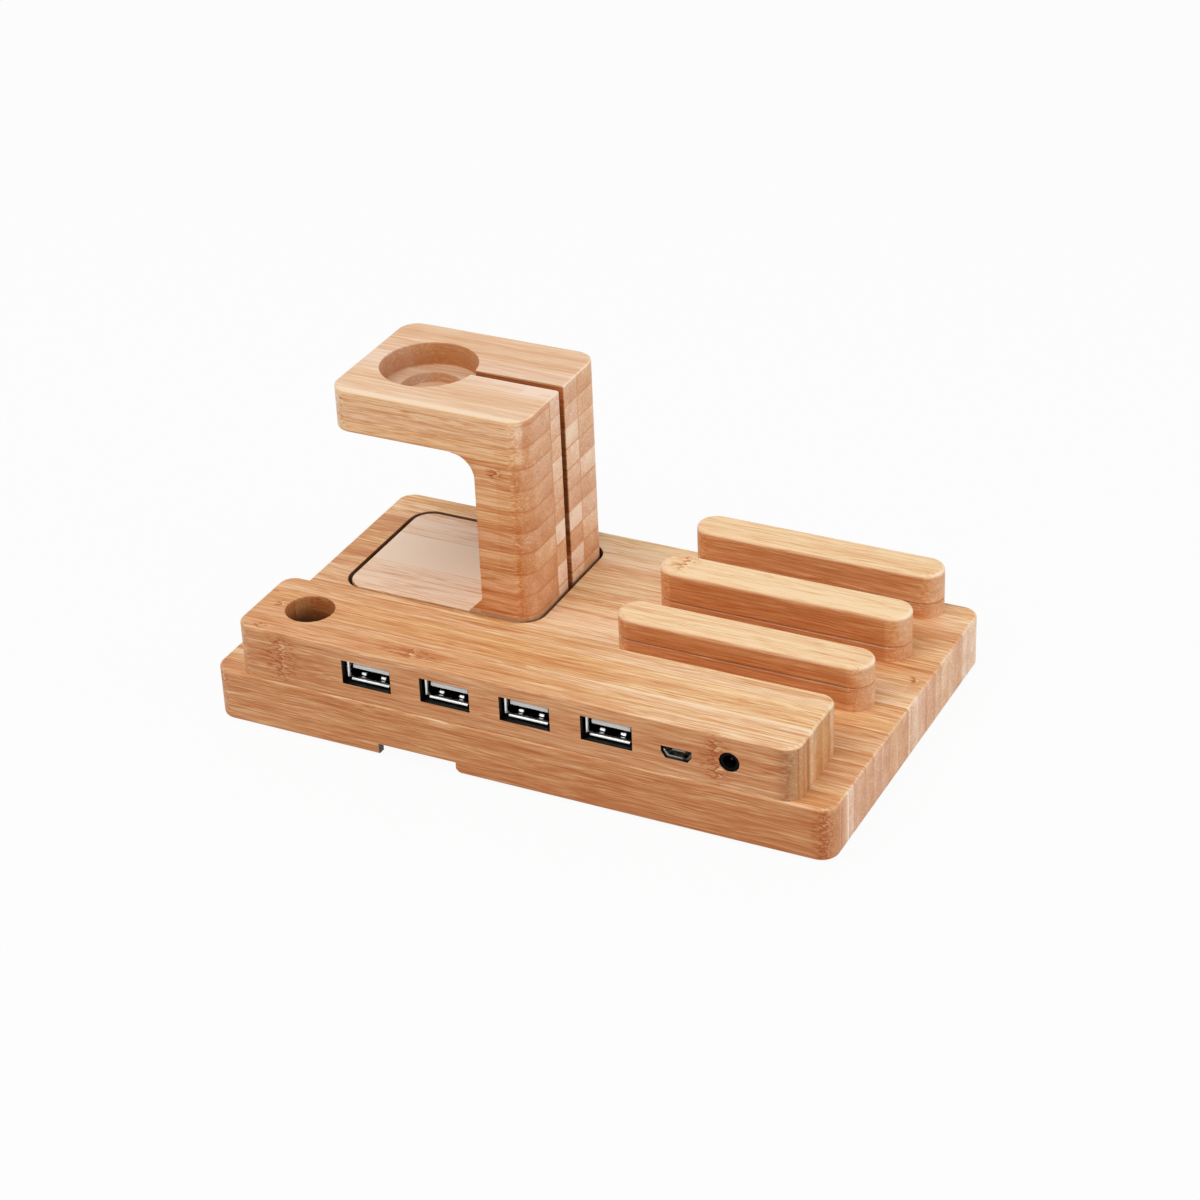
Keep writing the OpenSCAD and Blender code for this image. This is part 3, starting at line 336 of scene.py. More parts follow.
def hub_finish(nodes, name, pale, deep, grit, rough, relief, drawn=(1, 1, 1), patches=(), **values):
    """Dresses small nodes in two near colours, in a noise of grit mm, with a span of roughness and a
    relief in mm. Drawn is below 1 along the way of rolling, and patches are (box, colour, softness)."""
    material, tree, shader = start_material(name, **values)
    place = millimetres(tree)
    grain = add(tree, VEC, {0: place, 1: drawn}, operation="MULTIPLY")
    grain = add(tree, NOISE, {"Vector": grain, "Scale": 1.0 / grit, "Detail": 3.0, "Roughness": 0.6})
    colour = add(tree, RANGE, {0: grain, 1: 0.3, 2: 0.7})
    colour = add(tree, MIX, {0: colour, 6: linear(deep), 7: linear(pale)}, **BLEND)
    for corners, painted, softness in patches:
        mask = masked(tree, place, corners, softness)
        colour = add(tree, MIX, {0: mask, 6: colour, 7: linear(painted)}, **BLEND)
    tree.links.new(add(tree, RANGE, {0: grain, 1: 0.3, 2: 0.7, 3: rough[1], 4: rough[0]}), shader.inputs["Roughness"])
    surface(tree, shader, colour, grain, 0.3, relief)
    dress(nodes, material)
    return material


def hardboard():
    """Hardboard, pressed: short matted fibres, brown and matt, with a few pale shreds."""
    material, tree, shader = start_material("Hardboard, pressed", Roughness=0.75, Specular_IOR_Level=0.25)
    place = millimetres(tree)
    shreds = add(tree, NOISE, {"Vector": place, "Scale": 0.8, "Detail": 4.0, "Roughness": 0.75, "Distortion": 1.5})
    specks = add(tree, VORONOI, {"Vector": place, "Scale": 1.6}, out="Distance")
    specks = add(tree, RANGE, {0: specks, 1: 0.05, 2: 0.25, 3: 0.5, 4: 0.0}, **SOFT)
    colour = add(tree, MIX, {0: shreds, 6: linear("#4A3524"), 7: linear("#7A5D42")}, **BLEND)
    colour = add(tree, MIX, {0: specks, 6: colour, 7: linear("#A08460")}, **BLEND)
    surface(tree, shader, colour, shreds, 0.4, 0.1)
    return material


def solder_mask():
    """Glass-epoxy board under black solder mask: a dull sheen, raised tracks, and fibre-coloured edges."""
    material, tree, shader = start_material("Glass-epoxy board, black solder mask", Roughness=0.4)
    place = millimetres(tree)
    weave = {"Vector": place, "Scale": 1.0, "Mortar Size": 0.11, "Mortar Smooth": 0.4, "Brick Width": 4.3,
             "Row Height": 1.27}
    track = add(tree, "ShaderNodeTexBrick", weave, out="Fac")
    upwards = add(tree, SPLIT, {0: add(tree, "ShaderNodeTexCoord", out="Normal")}, out="Z")
    upwards = add(tree, MATH, {0: upwards}, operation="ABSOLUTE")
    edge = add(tree, MATH, {0: upwards, 1: 0.5}, operation="LESS_THAN")
    colour = add(tree, MIX, {0: track, 6: linear("#0C100E"), 7: linear("#1D2521")}, **BLEND)
    colour = add(tree, MIX, {0: edge, 6: colour, 7: linear("#1F1B14")}, **BLEND)
    surface(tree, shader, colour, track, 0.5, 0.04)
    return material


def resistor_finish():
    """Ceramic chips with a black glaze and tinned ends."""
    material, tree, shader = start_material("Ceramic chip, glazed, with tinned ends", Roughness=0.35)
    place = millimetres(tree)
    off = add(tree, MATH, {0: add(tree, SPLIT, {0: place}), 1: 5.6}, operation="ADD")
    tin = add(tree, MATH, {0: off, 1: 1.6}, operation="PINGPONG")
    tin = add(tree, RANGE, {0: tin, 1: 0.58, 2: 0.64})
    cast = add(tree, NOISE, {"Vector": place, "Scale": 4.0, "Detail": 2.0})
    tinned = add(tree, MIX, {0: cast, 6: linear("#8F9091"), 7: linear("#C4C5C6")}, **BLEND)
    colour = add(tree, MIX, {0: tin, 6: linear("#17181A"), 7: tinned}, **BLEND)
    tree.links.new(colour, shader.inputs["Base Color"])
    tree.links.new(tin, shader.inputs["Metallic"])
    return material


def coil_tree():
    """Geometry Nodes tree that winds a wire or a thread ridge upwards from each point."""
    tree, given = start_group("Coil", "GeometryNodeTree", (
        ("Geometry", "Geometry", None), ("Radius", "Float", 0.001), ("Pitch", "Float", 0.0005),
        ("Turns", "Float", 5.0), ("Wire Radius", "Float", 0.0002), ("Wire Sides", "Int", 6),
        ("Material", "Material", None),
    ), (("Geometry", "Geometry"),))
    rise = add(tree, MATH, {0: given["Pitch"], 1: given["Turns"]}, operation="MULTIPLY")
    spiral = add(tree, "GeometryNodeCurveSpiral", {
        "Resolution": 14, "Rotations": given["Turns"], "Start Radius": given["Radius"],
        "End Radius": given["Radius"], "Height": rise})
    ring = add(tree, "GeometryNodeCurvePrimitiveCircle", {"Resolution": given["Wire Sides"],
                                                          "Radius": given["Wire Radius"]})
    wire = add(tree, "GeometryNodeCurveToMesh", {"Curve": spiral, "Profile Curve": ring, "Fill Caps": True})
    coils = add(tree, "GeometryNodeInstanceOnPoints", {"Points": given["Geometry"], "Instance": wire})
    coils = add(tree, "GeometryNodeRealizeInstances", {"Geometry": coils})
    coils = add(tree, "GeometryNodeSetMaterial", {"Geometry": coils, "Material": given["Material"]})
    add(tree, "NodeGroupOutput", {"Geometry": coils})
    return tree


def solder_tree():
    """Geometry Nodes tree that hangs a hollow-sided solder cone from each point."""
    tree, given = start_group("Solder joint", "GeometryNodeTree", (
        ("Geometry", "Geometry", None), ("Height", "Float", 0.0009), ("Foot Radius", "Float", 0.0008),
        ("Tip Radius", "Float", 0.0003), ("Stretch", "Vector", (1, 1, 1)), ("Material", "Material", None),
    ), (("Geometry", "Geometry"),))
    drop = add(tree, MATH, {0: given["Height"], 1: -1.0}, operation="MULTIPLY")
    line = add(tree, "GeometryNodeCurvePrimitiveLine", {"End": add(tree, JOIN, {2: drop})})
    line = add(tree, "GeometryNodeResampleCurve", {"Curve": line, "Count": 6})
    far = add(tree, "GeometryNodeSplineParameter", out="Factor")
    near = add(tree, MATH, {0: 1.0, 1: far}, operation="SUBTRACT")
    near = add(tree, MATH, {0: near, 1: 2.2}, operation="POWER")
    spread = add(tree, MATH, {0: given["Foot Radius"], 1: given["Tip Radius"]}, operation="SUBTRACT")
    girth = add(tree, MATH, {0: near, 1: spread, 2: given["Tip Radius"]}, **FUSED)
    ring = add(tree, "GeometryNodeCurvePrimitiveCircle", {"Resolution": 14, "Radius": 1.0})
    cone = add(tree, "GeometryNodeCurveToMesh", {"Curve": line, "Profile Curve": ring, "Scale": girth,
                                                 "Fill Caps": True})
    cones = add(tree, "GeometryNodeInstanceOnPoints", {"Points": given["Geometry"], "Instance": cone,
                                                       "Scale": given["Stretch"]})
    cones = add(tree, "GeometryNodeRealizeInstances", {"Geometry": cones})
    cones = add(tree, "GeometryNodeSetMaterial", {"Geometry": cones, "Material": given["Material"]})
    add(tree, "NodeGroupOutput", {"Geometry": cones})
    return tree


def grow(name, tree, points, body, slot, **sizes):
    """Runs a Geometry Nodes tree on points given in mm, and keeps the result as a plain piece on a body."""
    seeds = bpy.data.meshes.new(name)
    seeds.from_pydata([[value / 1000 for value in point] for point in points], [], [])
    piece = bpy.data.objects.new(name, seeds)
    bpy.context.scene.collection.objects.link(piece)
    maker = piece.modifiers.new(name, "NODES")
    maker.node_group = tree
    for item in tree.interface.items_tree:
        if item.in_out == "INPUT" and item.name.replace(" ", "_") in sizes:
            maker[item.identifier] = sizes[item.name.replace(" ", "_")]
    shape = bpy.data.meshes.new_from_object(piece.evaluated_get(bpy.context.evaluated_depsgraph_get()))
    piece.modifiers.remove(maker)
    if not shape.polygons:
        raise RuntimeError(f"{name} came out empty")
    shape.materials.clear()
    shape.materials.append(sizes["Material"])
    turned = bmesh.new()
    turned.from_mesh(shape)
    bmesh.ops.remove_doubles(turned, verts=turned.verts, dist=1e-6)
    bmesh.ops.recalc_face_normals(turned, faces=turned.faces)
    turned.to_mesh(shape)
    turned.free()
    shape.shade_smooth()
    piece.data = shape
    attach(piece, body)


class StationColours(PropertyGroup):
    """Colours of the woods"""

    flat: FloatVectorProperty(name="Flat grain", description="Bamboo on the boards' tops", subtype="COLOR",
                              default=linear("#DCA26C")[:3], min=0, max=1)
    edge: FloatVectorProperty(name="Edge grain", description="Bamboo on the boards' long sides", subtype="COLOR",
                              default=linear("#DB9B66")[:3], min=0, max=1)
    end: FloatVectorProperty(name="End grain", description="Bamboo on the boards' ends", subtype="COLOR",
                             default=linear("#DEAA80")[:3], min=0, max=1)


class StationSizes(PropertyGroup):
    """Sizes of the small repeated parts"""

    thread_pitch: FloatProperty(name="Thread pitch", description="Rise of a wood screw's thread in one turn",
                                unit="LENGTH", default=0.0008, min=0.0004, max=0.0012, precision=5)
    thread_rise: FloatProperty(name="Thread depth", description="How far a thread stands out of its shank",
                               unit="LENGTH", default=0.0003, min=0.0001, max=0.0005, precision=5)
    solder_rise: FloatProperty(name="Solder height", description="Height of a solder joint on its pin",
                               unit="LENGTH", default=0.0009, min=0.0004, max=0.0011, precision=5)
    solder_foot: FloatProperty(name="Solder foot", description="Radius of a solder joint at the board",
                               unit="LENGTH", default=0.0008, min=0.0005, max=0.001, precision=5)
    wire: FloatProperty(name="Winding wire", description="Thickness of the inductor's copper wire", unit="LENGTH",
                        default=0.00034, min=0.0002, max=0.0005, precision=5)


class StationStage(PropertyGroup):
    """Camera and lamps"""

    azimuth: FloatProperty(name="Azimuth", description="Turn of the camera from the front", subtype="ANGLE",
                           default=math.radians(27.31))
    elevation: FloatProperty(name="Elevation", description="Tilt of the camera above the table", subtype="ANGLE",
                             default=math.radians(30.39))
    roll: FloatProperty(name="Roll", description="Turn of the picture", subtype="ANGLE", default=math.radians(-2.51))
    field: FloatProperty(name="Field of view", description="Angle across the picture", subtype="ANGLE",
                         default=math.radians(21.757))
    place: FloatVectorProperty(name="Place", description="Where the camera stands", unit="LENGTH",
                               default=(0.34247, -0.66219, 0.46637), precision=4)
    key: FloatProperty(name="Key lamp", description="Power of the soft lamp in front, on the left", unit="POWER",
                       default=6.4)
    side: FloatProperty(name="Side lamp", description="Power of the soft lamp on the right", unit="POWER", default=2.5)
    fill: FloatProperty(name="Room light", description="Strength of the even light all round", default=0.56)


class STATION_OT_stage(Operator):
    """Build the floor, the lamps and the camera"""

    bl_idname = "station.stage"
    bl_label = "Stage"

    def execute(self, context):
        given = context.scene.station_stage
        context.scene.view_settings.view_transform = "Standard"

        floor = bpy.data.meshes.new("floor")
        turns = ((-1, -1), (1, -1), (1, 1), (-1, 1))
        corners = [(x * FLOOR_HALF, y * FLOOR_HALF, -FLOOR_DROP) for x, y in turns]
        floor.from_pydata(corners, [], [(0, 1, 2, 3)])
        floor = bpy.data.objects.new("floor", floor)
        context.scene.collection.objects.link(floor)
        # Matt white paper: lit evenly, and taken most of the way to white for the camera and reflections
        paper, tree, shader = start_material("Matt white paper, sprayed", Base_Color=linear("#D2D1CE"), Roughness=0.9)
        share = add(tree, MATH, {0: seen(tree), 1: FLOOR_GLOW}, operation="MULTIPLY")
        glow = add(tree, "ShaderNodeEmission", {"Color": (1, 1, 1, 1), "Strength": 1.0})
        mixed = add(tree, "ShaderNodeMixShader", {0: share, 1: shader.outputs[0], 2: glow})
        tree.links.new(mixed, tree.nodes["Material Output"].inputs["Surface"])
        floor.data.materials.append(paper)

        world = bpy.data.worlds.new("Soft room")
        world.use_nodes = True
        tree = world.node_tree
        power = add(tree, RANGE, {0: seen(tree), 3: given.fill, 4: 1.0})
        sky = tree.nodes["Background"]
        sky.inputs["Color"].default_value = (1, 1, 1, 1)
        tree.links.new(power, sky.inputs["Strength"])
        context.scene.world = world

        # Each lamp's place and width are in metres, and it points at the origin
        for name, place, size, power in (("key lamp", (-0.25, -0.5, 1.15), 0.9, given.key),
                                         ("side lamp", (0.95, 0.0, 0.35), 0.6, given.side)):
            lamp = bpy.data.lights.new(name, "AREA")
            lamp.shape, lamp.size, lamp.energy = "DISK", size, power
            lamp = bpy.data.objects.new(name, lamp)
            lamp.location = place
            lamp.rotation_euler = (-Vector(place)).to_track_quat("-Z", "Y").to_euler()
            context.scene.collection.objects.link(lamp)

        a, e, r = given.azimuth, given.elevation, given.roll
        back = Vector((math.sin(a) * math.cos(e), -math.cos(a) * math.cos(e), math.sin(e)))
        right = (-back).cross(Vector((0, 0, 1))).normalized()
        up = back.cross(right)
        turn = Matrix((right, up, back)).transposed() @ Matrix.Rotation(r, 3, "Z")
        camera = bpy.data.cameras.new("camera")
        camera.sensor_fit, camera.angle = "HORIZONTAL", given.field
        camera.clip_start = 0.01
        camera = bpy.data.objects.new("camera", camera)
        camera.matrix_world = Matrix.Translation(given.place) @ turn.to_4x4()
        context.scene.collection.objects.link(camera)
        context.scene.camera = camera
        return {"FINISHED"}


def woods(context):
    """The three faces' colours, as inputs of the grain group."""
    given = context.scene.station_colours
    return {name: (*getattr(given, name.lower()), 1.0) for name in ("Flat", "Edge", "End")}


class STATION_OT_base(Operator):
    """Finish the base board"""

    bl_idname = "station.base"
    bl_label = "Base board"

    def execute(self, context):
        # Side-pressed: long fine grain on top, end grain at both ends. Boxes of pale and dark strips come first,
        # then ones that pale the right end, darken the front strip, add a painted shade to the front that grows
        # towards the right, lift the top between the stand and the dividers, and darken the right front corner along
        # its knot
        shades = [
            ((-93, -46.7, 0, 94, -40.0, 18), 0.14, 0.8), ((92, -44.9, 0, 94, -40.2, 16.8), 0.22, (0.2, 0.6, 0.2)),
            ((92, -47.6, 0, 94, -44.9, 16.8), -0.12, (0.2, 0.4, 0.2)), ((-93, -1.7, 0, 94, 5.5, 18), 0.16, 0.8),
            ((92, -39.2, 0, 94, 2, 16.6), -0.08, (0.3, 2, 0.3)), ((-93, 39.5, 0, 94, 44.0, 18), 0.18, 0.8),
            ((88, 5.5, 0, 94, 11.7, 17.5), -0.08, 0.5), ((88, 11.4, 0, 94, 12.8, 17.5), -0.24, 0.5),
            ((92, -45, 0, 94, 200, 16.6), 0.14, (0.3, 100, 0.3)), ((-93, -56, 0, 94, -47.2, 16.4), -0.1, 1.2),
            ((-60, -56, 0, 240, -54, 16.4), -0.09, (90, 0.3, 0.3)), ((-27, -27, 16.2, 14, 80, 18), 0.25, (3, 3, 0.3)),
            ((6, -27, 16.2, 94, 80, 18), 0.08, (3, 3, 0.3)), ((89, -49.5, 0, 94, -47.6, 16.6), -0.2, (1, 0.6, 0.2)),
            ((89.6, -56, 0, 94, -49, 16.4), -0.03, (1, 1.5, 0.4)),
            ((89.9, -54.8, 0, 91.0, -53.4, 16.4), -0.24, (0.4, 0.4, 0.3)),
        ]
        # Painted shade: the pocket's walls are painted dark so the gap round the foot reads dark, and the left wall of
        # the cable channel's mouth is painted near black
        stains_and_painted_light = [((-83.4, -2.2, 9.4, -19, 47.8, 16.9), "#2A180C", 0.1, 0.72),
                  ((-42, -54.8, 0, -40.6, -30, 4.7), "#170D08", 0.2, 0.95)]
        knots = [((89.9, -55, 9), (4.4, 5, 12)), ((-90.5, -55, 14), (3.2, 3, 5)), ((88.5, 12.6, 17), (3.5, 2.6, 3))]
        pressed_bamboo(["base_board"], "Bamboo base, side-pressed and oiled", knots, shades, stains_and_painted_light, Strip_Width=6.2,
                       Strip_Contrast=0.26, Line_Contrast=0.85, Joint_Contrast=0.2, Seed=3.0, **woods(context))
        return {"FINISHED"}


class STATION_OT_rail(Operator):
    """Finish the rail that holds the hub"""

    bl_idname = "station.rail"
    bl_label = "Rail"

    def execute(self, context):
        # Painted shade: the openings' walls are painted near black, and the pen hole is painted darker downwards
        stains_and_painted_light = [((x - 7.6, -54.6, 21.3, x + 7.6, -51.9, 28.9), "#070606", 0.05, 1.0) for x in SOCKET_X]
        stains_and_painted_light += [((44.0, -54.6, 21.0, 53.8, -51.9, 26.2), "#070606", 0.05, 1.0),
                   ((60.8, -54.6, 21.9, 67.0, -51.9, 28.2), "#040405", 0.05, 1.0),
                   ((-77, -49, 5, -59, -32, 31.5), "#3A220F", (0.5, 0.5, 8.0), 0.9),
                   ((76, -60, 16, 84, -49.5, 32.2), "#3A2A18", (4, 2, 0.3), 0.26),
                   ((82, -48.2, 16, 84, -46.5, 32.2), "#3A2A18", 0.3, 0.3)]
        knots = [((-70, -54.7, 25), (8.0, 4, 11)), ((60.2, -54.7, 25), (6.5, 4, 11)), ((-31, -50.3, 33), (13, 3.6, 3)),
                 ((-77.5, -40.7, 33), (3, 2.4, 3)), ((-77, -53, 33), (3, 2, 3))]
        # The same side-pressed stock as the base, with pale and dark strips at its right end. Painted light makes the
        # top paler towards the right and darker towards the left, and the front darker towards the right; painted
        # shade darkens the pen hole's walls
        shades = [
            ((0, -45.0, 31, 84, -43.0, 34), 0.14, 0.8), ((82, -46.1, 16, 84, -41.7, 34), 0.12, 0.5),
            ((82, -48.4, 16, 84, -46.1, 34), -0.16, 0.4), ((82, -32.2, 16, 84, -30.2, 34), 0.12, 0.5),
            ((82, -34.2, 16, 84, -32.4, 34), -0.12, 0.3), ((82, -51.2, 16, 84, -48.6, 32.4), -0.1, 0.4),
            ((81.9, -52.8, 16, 84, -52.0, 32.4), -0.28, 0.3), ((81, -60, 16, 84, -20, 32.4), -0.12, (1.5, 1, 0.4)),
            ((-20, -60, 32.2, 300, -20, 34), 0.2, (80, 1, 0.3)), ((-200, -60, 32.2, 60, -20, 34), -0.08, (60, 1, 0.3)),
            ((-77, -49, 10, -59, -32, 32.7), -0.3, (1, 1, 0.6)), ((-45, -52.5, 32, -17, -48, 34), -0.1, (6, 1, 0.3)),
            ((30, -55, 16, 200, -54, 32.4), -0.07, (30, 0.3, 0.3)),
        ]
        pressed_bamboo(["hub_rail"], "Bamboo rail, side-pressed and oiled", knots, shades, stains_and_painted_light, Strip_Width=5.4,
                       Seed=8.0, **{**woods(context), "End": linear("#D6A473")})
        return {"FINISHED"}


class STATION_OT_dividers(Operator):
    """Finish the three dividers"""

    bl_idname = "station.dividers"
    bl_label = "Dividers"

    def execute(self, context):
        # Two flat-pressed layers: broad quiet grain, one joint line at the seam's height, and paler tops. The front
        # faces are painted darker as painted shade, most for the middle divider
        for name, seam, seed, face_shade, top_tone, knots in (
            ("divider_front", 24.28, 11.0, -0.12, 0.35, ()), ("divider_rear", 21.62, 17.0, -0.04, 0.33, ()),
            ("divider_middle", 21.48, 14.0, -0.24, 0.42, [((15.2, 24.6, 31), (5.2, 7.5, 4))]),
        ):
            box = [1000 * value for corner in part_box(name) for value in corner]
            top = (box[0] - 1, box[1] - 1, box[5] - 1.6, box[3] + 1, box[4] + 1, box[5] + 1)
            face = (box[0] + 4, box[1] - 1, box[2] - 1, box[3] - 5, box[1] + 3, box[5] - 1)
            groove = (box[3] - 5, box[1] - 1, seam - 0.55, box[3] + 1, box[4] + 1, seam + 0.55)
            shades = [(top, top_tone, 0.9), (face, face_shade, 1.5), (groove, -0.25, 0.3)]
            # Painted shade: the seam's lower lip along the front face, which catches the light, is painted darker
            shaded_lip = (box[0] + 2, box[1] - 1, seam - 0.5, box[3] - 5, box[1] + 2, seam + 0.4)
            title = "Bamboo " + name.replace("_", ", ") + ", flat-pressed and oiled"
            pressed_bamboo([name], title, knots, shades, [(shaded_lip, "#94572C", 0.3, 0.5)], Strip_Width=60.0,
                           Strip_Base=12.0, Strip_Contrast=0.0, Lean=0.0, Course_Height=60.0, Course_Base=seam,
                           Joint_Contrast=0.0, Hue_Spread=0.15, Line_Contrast=0.65, Seed=seed, **woods(context))
        return {"FINISHED"}


class STATION_OT_stand(Operator):
    """Finish the watch stand"""

    bl_idname = "station.stand"
    bl_label = "Watch stand"

    def execute(self, context):
        # Pale and dark blocks on the back face: (y from, y to, z from, z to, tone shift)
        shades = [((-30, low_y, low_z, -20, high_y, high_z), tone, 0.3) for low_y, high_y, low_z, high_z, tone in (
            (15.4, 32.2, 33.7, 40.4, 0.30), (15.4, 32.2, 20.4, 27.1, 0.32), (15.4, 32.2, 17.0, 20.4, 0.18),
            (15.4, 32.2, 27.1, 33.7, -0.16), (15.4, 21.5, 53.8, 80.5, 0.12), (23.5, 32.2, 60.4, 67.1, 0.22),
            (23.5, 32.2, 53.8, 60.4, 0.16), (32.2, 47.0, 47.1, 53.8, 0.28), (32.2, 47.0, 53.8, 60.4, -0.04),
            (32.2, 47.0, 27.1, 33.7, 0.06), (32.2, 47.0, 17.0, 27.1, -0.14), (3.0, 15.4, 65.0, 71.7, 0.12),
            (3.0, 15.4, 31.7, 38.3, 0.12), (3.0, 15.4, 17.0, 31.7, -0.08), (-1.0, 4.0, 30.0, 75.0, -0.06))]
        # The cable slot's walls darkened with painted shade, then the arm's pale front over its dark glue lines; that
        # paleness is partly its own paler courses and partly painted light above the shaded post
        shades += [
            ((-60, 20.4, 17, -20.7, 24.5, 79.6), -0.55, 0.2), ((-83, -1, 77.6, -20, 0.2, 80.5), 0.12, 0.6),
            ((-82, -1, 77.0, -26, 0.0, 77.8), -0.3, 0.4), ((-77, -1, 70.3, -30, 0.0, 71.0), -0.2, 0.4),
            ((-83, -2, 66, -20, 2.0, 82), 0.36, 1.5), ((-37, -2, 17, -24, 2, 66), 0.1, 1.5),
        ]
        # The arm's pale top, then the foot's top, lifted as painted light against the arm's shadow, with its own pale
        # middle strip, and the foot's front side, whose top edge gets a painted highlight
        shades += [
            ((-83, -2, 79.2, -20, 47, 81), 0.26, 0.8), ((-83, 24, 79.2, -20, 60, 81), -0.14, (2, 6, 0.3)),
            ((-83, -3, 16.9, -37, 60, 18), 0.38, (0.5, 1, 0.05)), ((-77, 2, 60, -45, 44, 73.1), 0.2, 0.1),
            ((-83, 15.4, 16.9, -37, 32.2, 18), 0.42, (0.5, 0.2, 0.05)),
            ((-83, -3, 16.9, -37, 3, 18), -0.12, (0.5, 1.5, 0.05)), ((-83, -2, 15.6, -19, -0.2, 17.1), 0.25, 0.2),
            ((-22, 15.4, 17, -20, 48, 80), 0.12, 0.3), ((-40, -2, 17, -22, -0.2, 66), 0.1, (3, 0.3, 0.3)),
        ]
        # Painted shade darkens the foot's sides, the well and the cable slot's walls; the foot's middle strip is
        # lifted past the palest tone, partly its own pale strip and partly painted light against the arm's shadow
        stains_and_painted_light = [((-83, 0.2, 9.2, -19, 48, 16.9), "#4A2A15", 0.1, 0.45),
                  ((-83, 15.4, 16.9, -37, 32.2, 18), "#FBEBD9", (0.5, 0.2, 0.05), 0.35),
                  ((-77, 2, 66, -45, 44, 79.7), "#2A1B10", 0.2, 0.15),
                  ((-60, 20.4, 17, -20.7, 24.5, 79.6), "#2A1B10", (0.2, 0.2, 20), 0.45)]
        calm = [((-83, 15.4, 10, -36.8, 32.2, 18), (0.5, 0.2, 0.3)), ((-83, -2, 79.2, -19, 48, 81), (1, 1, 0.3)),
                ((-77, 2, 60, -45, 44, 79.7), 0.3)]
        knots = [((-30.2, -0.7, 63), (4.2, 3, 2.4))]
        greyer = {**woods(context), "Flat": linear("#D9A276")}
        pressed_bamboo(["watch_stand"], "Bamboo stand, block-glued and oiled", knots, shades, stains_and_painted_light, calm,
                       (15.4, 1.75), Strip_Width=16.8, Strip_Base=7.0, Strip_Unevenness=0.0, Course_Height=6.64,
                       Course_Base=80.0, Joint_Width=0.6, Joint_Contrast=0.17, Strip_Contrast=0.12, Lean=0.05,
                       Course_Lean=0.14, Hue_Spread=0.25, Seed=5.0, Line_Contrast=0.8, **greyer)
        return {"FINISHED"}


class STATION_OT_sockets(Operator):
    """Finish the four sockets"""

    bl_idname = "station.sockets"
    bl_label = "Sockets"

    def execute(self, context):
        # Folded nickel-plated steel: bright on the lips, with a painted white glint on each finger's bump, and painted
        # near black inside as painted shade
        bump_out, bump_half = 3.04, 0.85
        dark = [((x - 6.5, -51.6, 22.4, x + 6.5, -38.0, 27.8), "#0F1110", 0.1) for x in SOCKET_X]
        middles = [x + side * bump_out for x in SOCKET_X for side in (-1, 1)]
        bump_glints = [((x - bump_half, -51.9, 22.4, x + bump_half, -49.5, 23.8), "#FFFFFF", (0.4, 0.5, 0.05))
                 for x in middles]
        hub_finish([f"usb_shell_{i}" for i in SOCKETS], "Nickel-plated steel, stamped and folded", "#EDEDEA",
                   "#D2D3D1", 0.6, (0.22, 0.36), 0.006, (0.2, 1, 1), dark + bump_glints, **METAL)
        # White moulded tongue: an even, glossy white band in front of its black block
        block = [((x - 7, -42.3, 22, x + 7, -38, 28), "#161616", 0.1) for x in SOCKET_X]
        hub_finish([f"usb_insulator_{i}" for i in SOCKETS], "White PBT, moulded", "#FFFFFE", "#FAF9F6", 0.9,
                   (0.15, 0.25), 0.004, patches=block, Specular_IOR_Level=1.0)
        # Rolled bronze strip: warm gold where it touches the plug, and grey where the tails are tinned
        tails = [((x - 7, -38.6, 19, x + 7, -37, 24.8), "#B9BABB", 0.2) for x in SOCKET_X]
        hub_finish([f"usb_contacts_{i}" for i in SOCKETS], "Phosphor bronze, gold-flashed with tinned tails",
                   "#E8C069", "#CFA04A", 0.5, (0.2, 0.32), 0.003, (1, 0.2, 1), tails, **METAL)
        return {"FINISHED"}


class STATION_OT_inlets(Operator):
    """Finish the small socket and the round power inlet"""

    bl_idname = "station.inlets"
    bl_label = "Inlets"

    def execute(self, context):
        # Drawn stainless sheath: grey with faint lines along it, and painted dark in its roof and depth as painted
        # shade
        dark = [((44, -54.5, 23.9, 54, -53.2, 26), "#1B1A19", 0.2), ((50, -54.5, 21, 54, -52, 26), "#1B1A19", 0.8),
                ((45, -52.0, 22.6, 53, -48, 26), "#0C0C0C", 0.3)]
        hub_finish(["micro_usb_shell"], "Stainless steel, deep-drawn", "#D8D6D1", "#B5B3AE", 0.5, (0.25, 0.4), 0.004,
                   (1, 0.2, 1), dark, **METAL)
        # Moulded grey tongue: matt, with hardly any grain
        hub_finish(["micro_usb_insulator"], "Grey liquid-crystal polymer, moulded", "#B9B8B4", "#8E8D89", 0.6,
                   (0.4, 0.55), 0.006)
        # Gold flash: warm yellow lines on the tongue
        hub_finish(["micro_usb_contacts"], "Copper alloy, gold-flashed", "#E8C069", "#CFA04A", 0.4, (0.2, 0.32),
                   0.003, (1, 0.2, 1), **METAL)
        # Spark-eroded mould: a dead matt black that takes no highlight
        hub_finish(["dc_jack_housing"], "Black PBT, moulded and lightly sparked", "#050508", "#020203", 0.35,
                   (0.6, 0.75), 0.01, Specular_IOR_Level=0.08)
        # Turned pin deep in a black bore: painted dark grey as painted shade, with a dull gleam
        hub_finish(["dc_jack_pin"], "Nickel-plated brass, turned and dulled", "#3A3B3E", "#232427", 0.4,
                   (0.35, 0.5), 0.003, (1, 1, 0.1), **METAL)
        # Rolled and tinned leaf: a soft grey shine along its length
        hub_finish(["dc_jack_spring"], "Spring bronze, tinned", "#B9B6AE", "#8F8C85", 0.4, (0.3, 0.42), 0.003,
                   (1, 0.2, 1), **METAL)
        return {"FINISHED"}


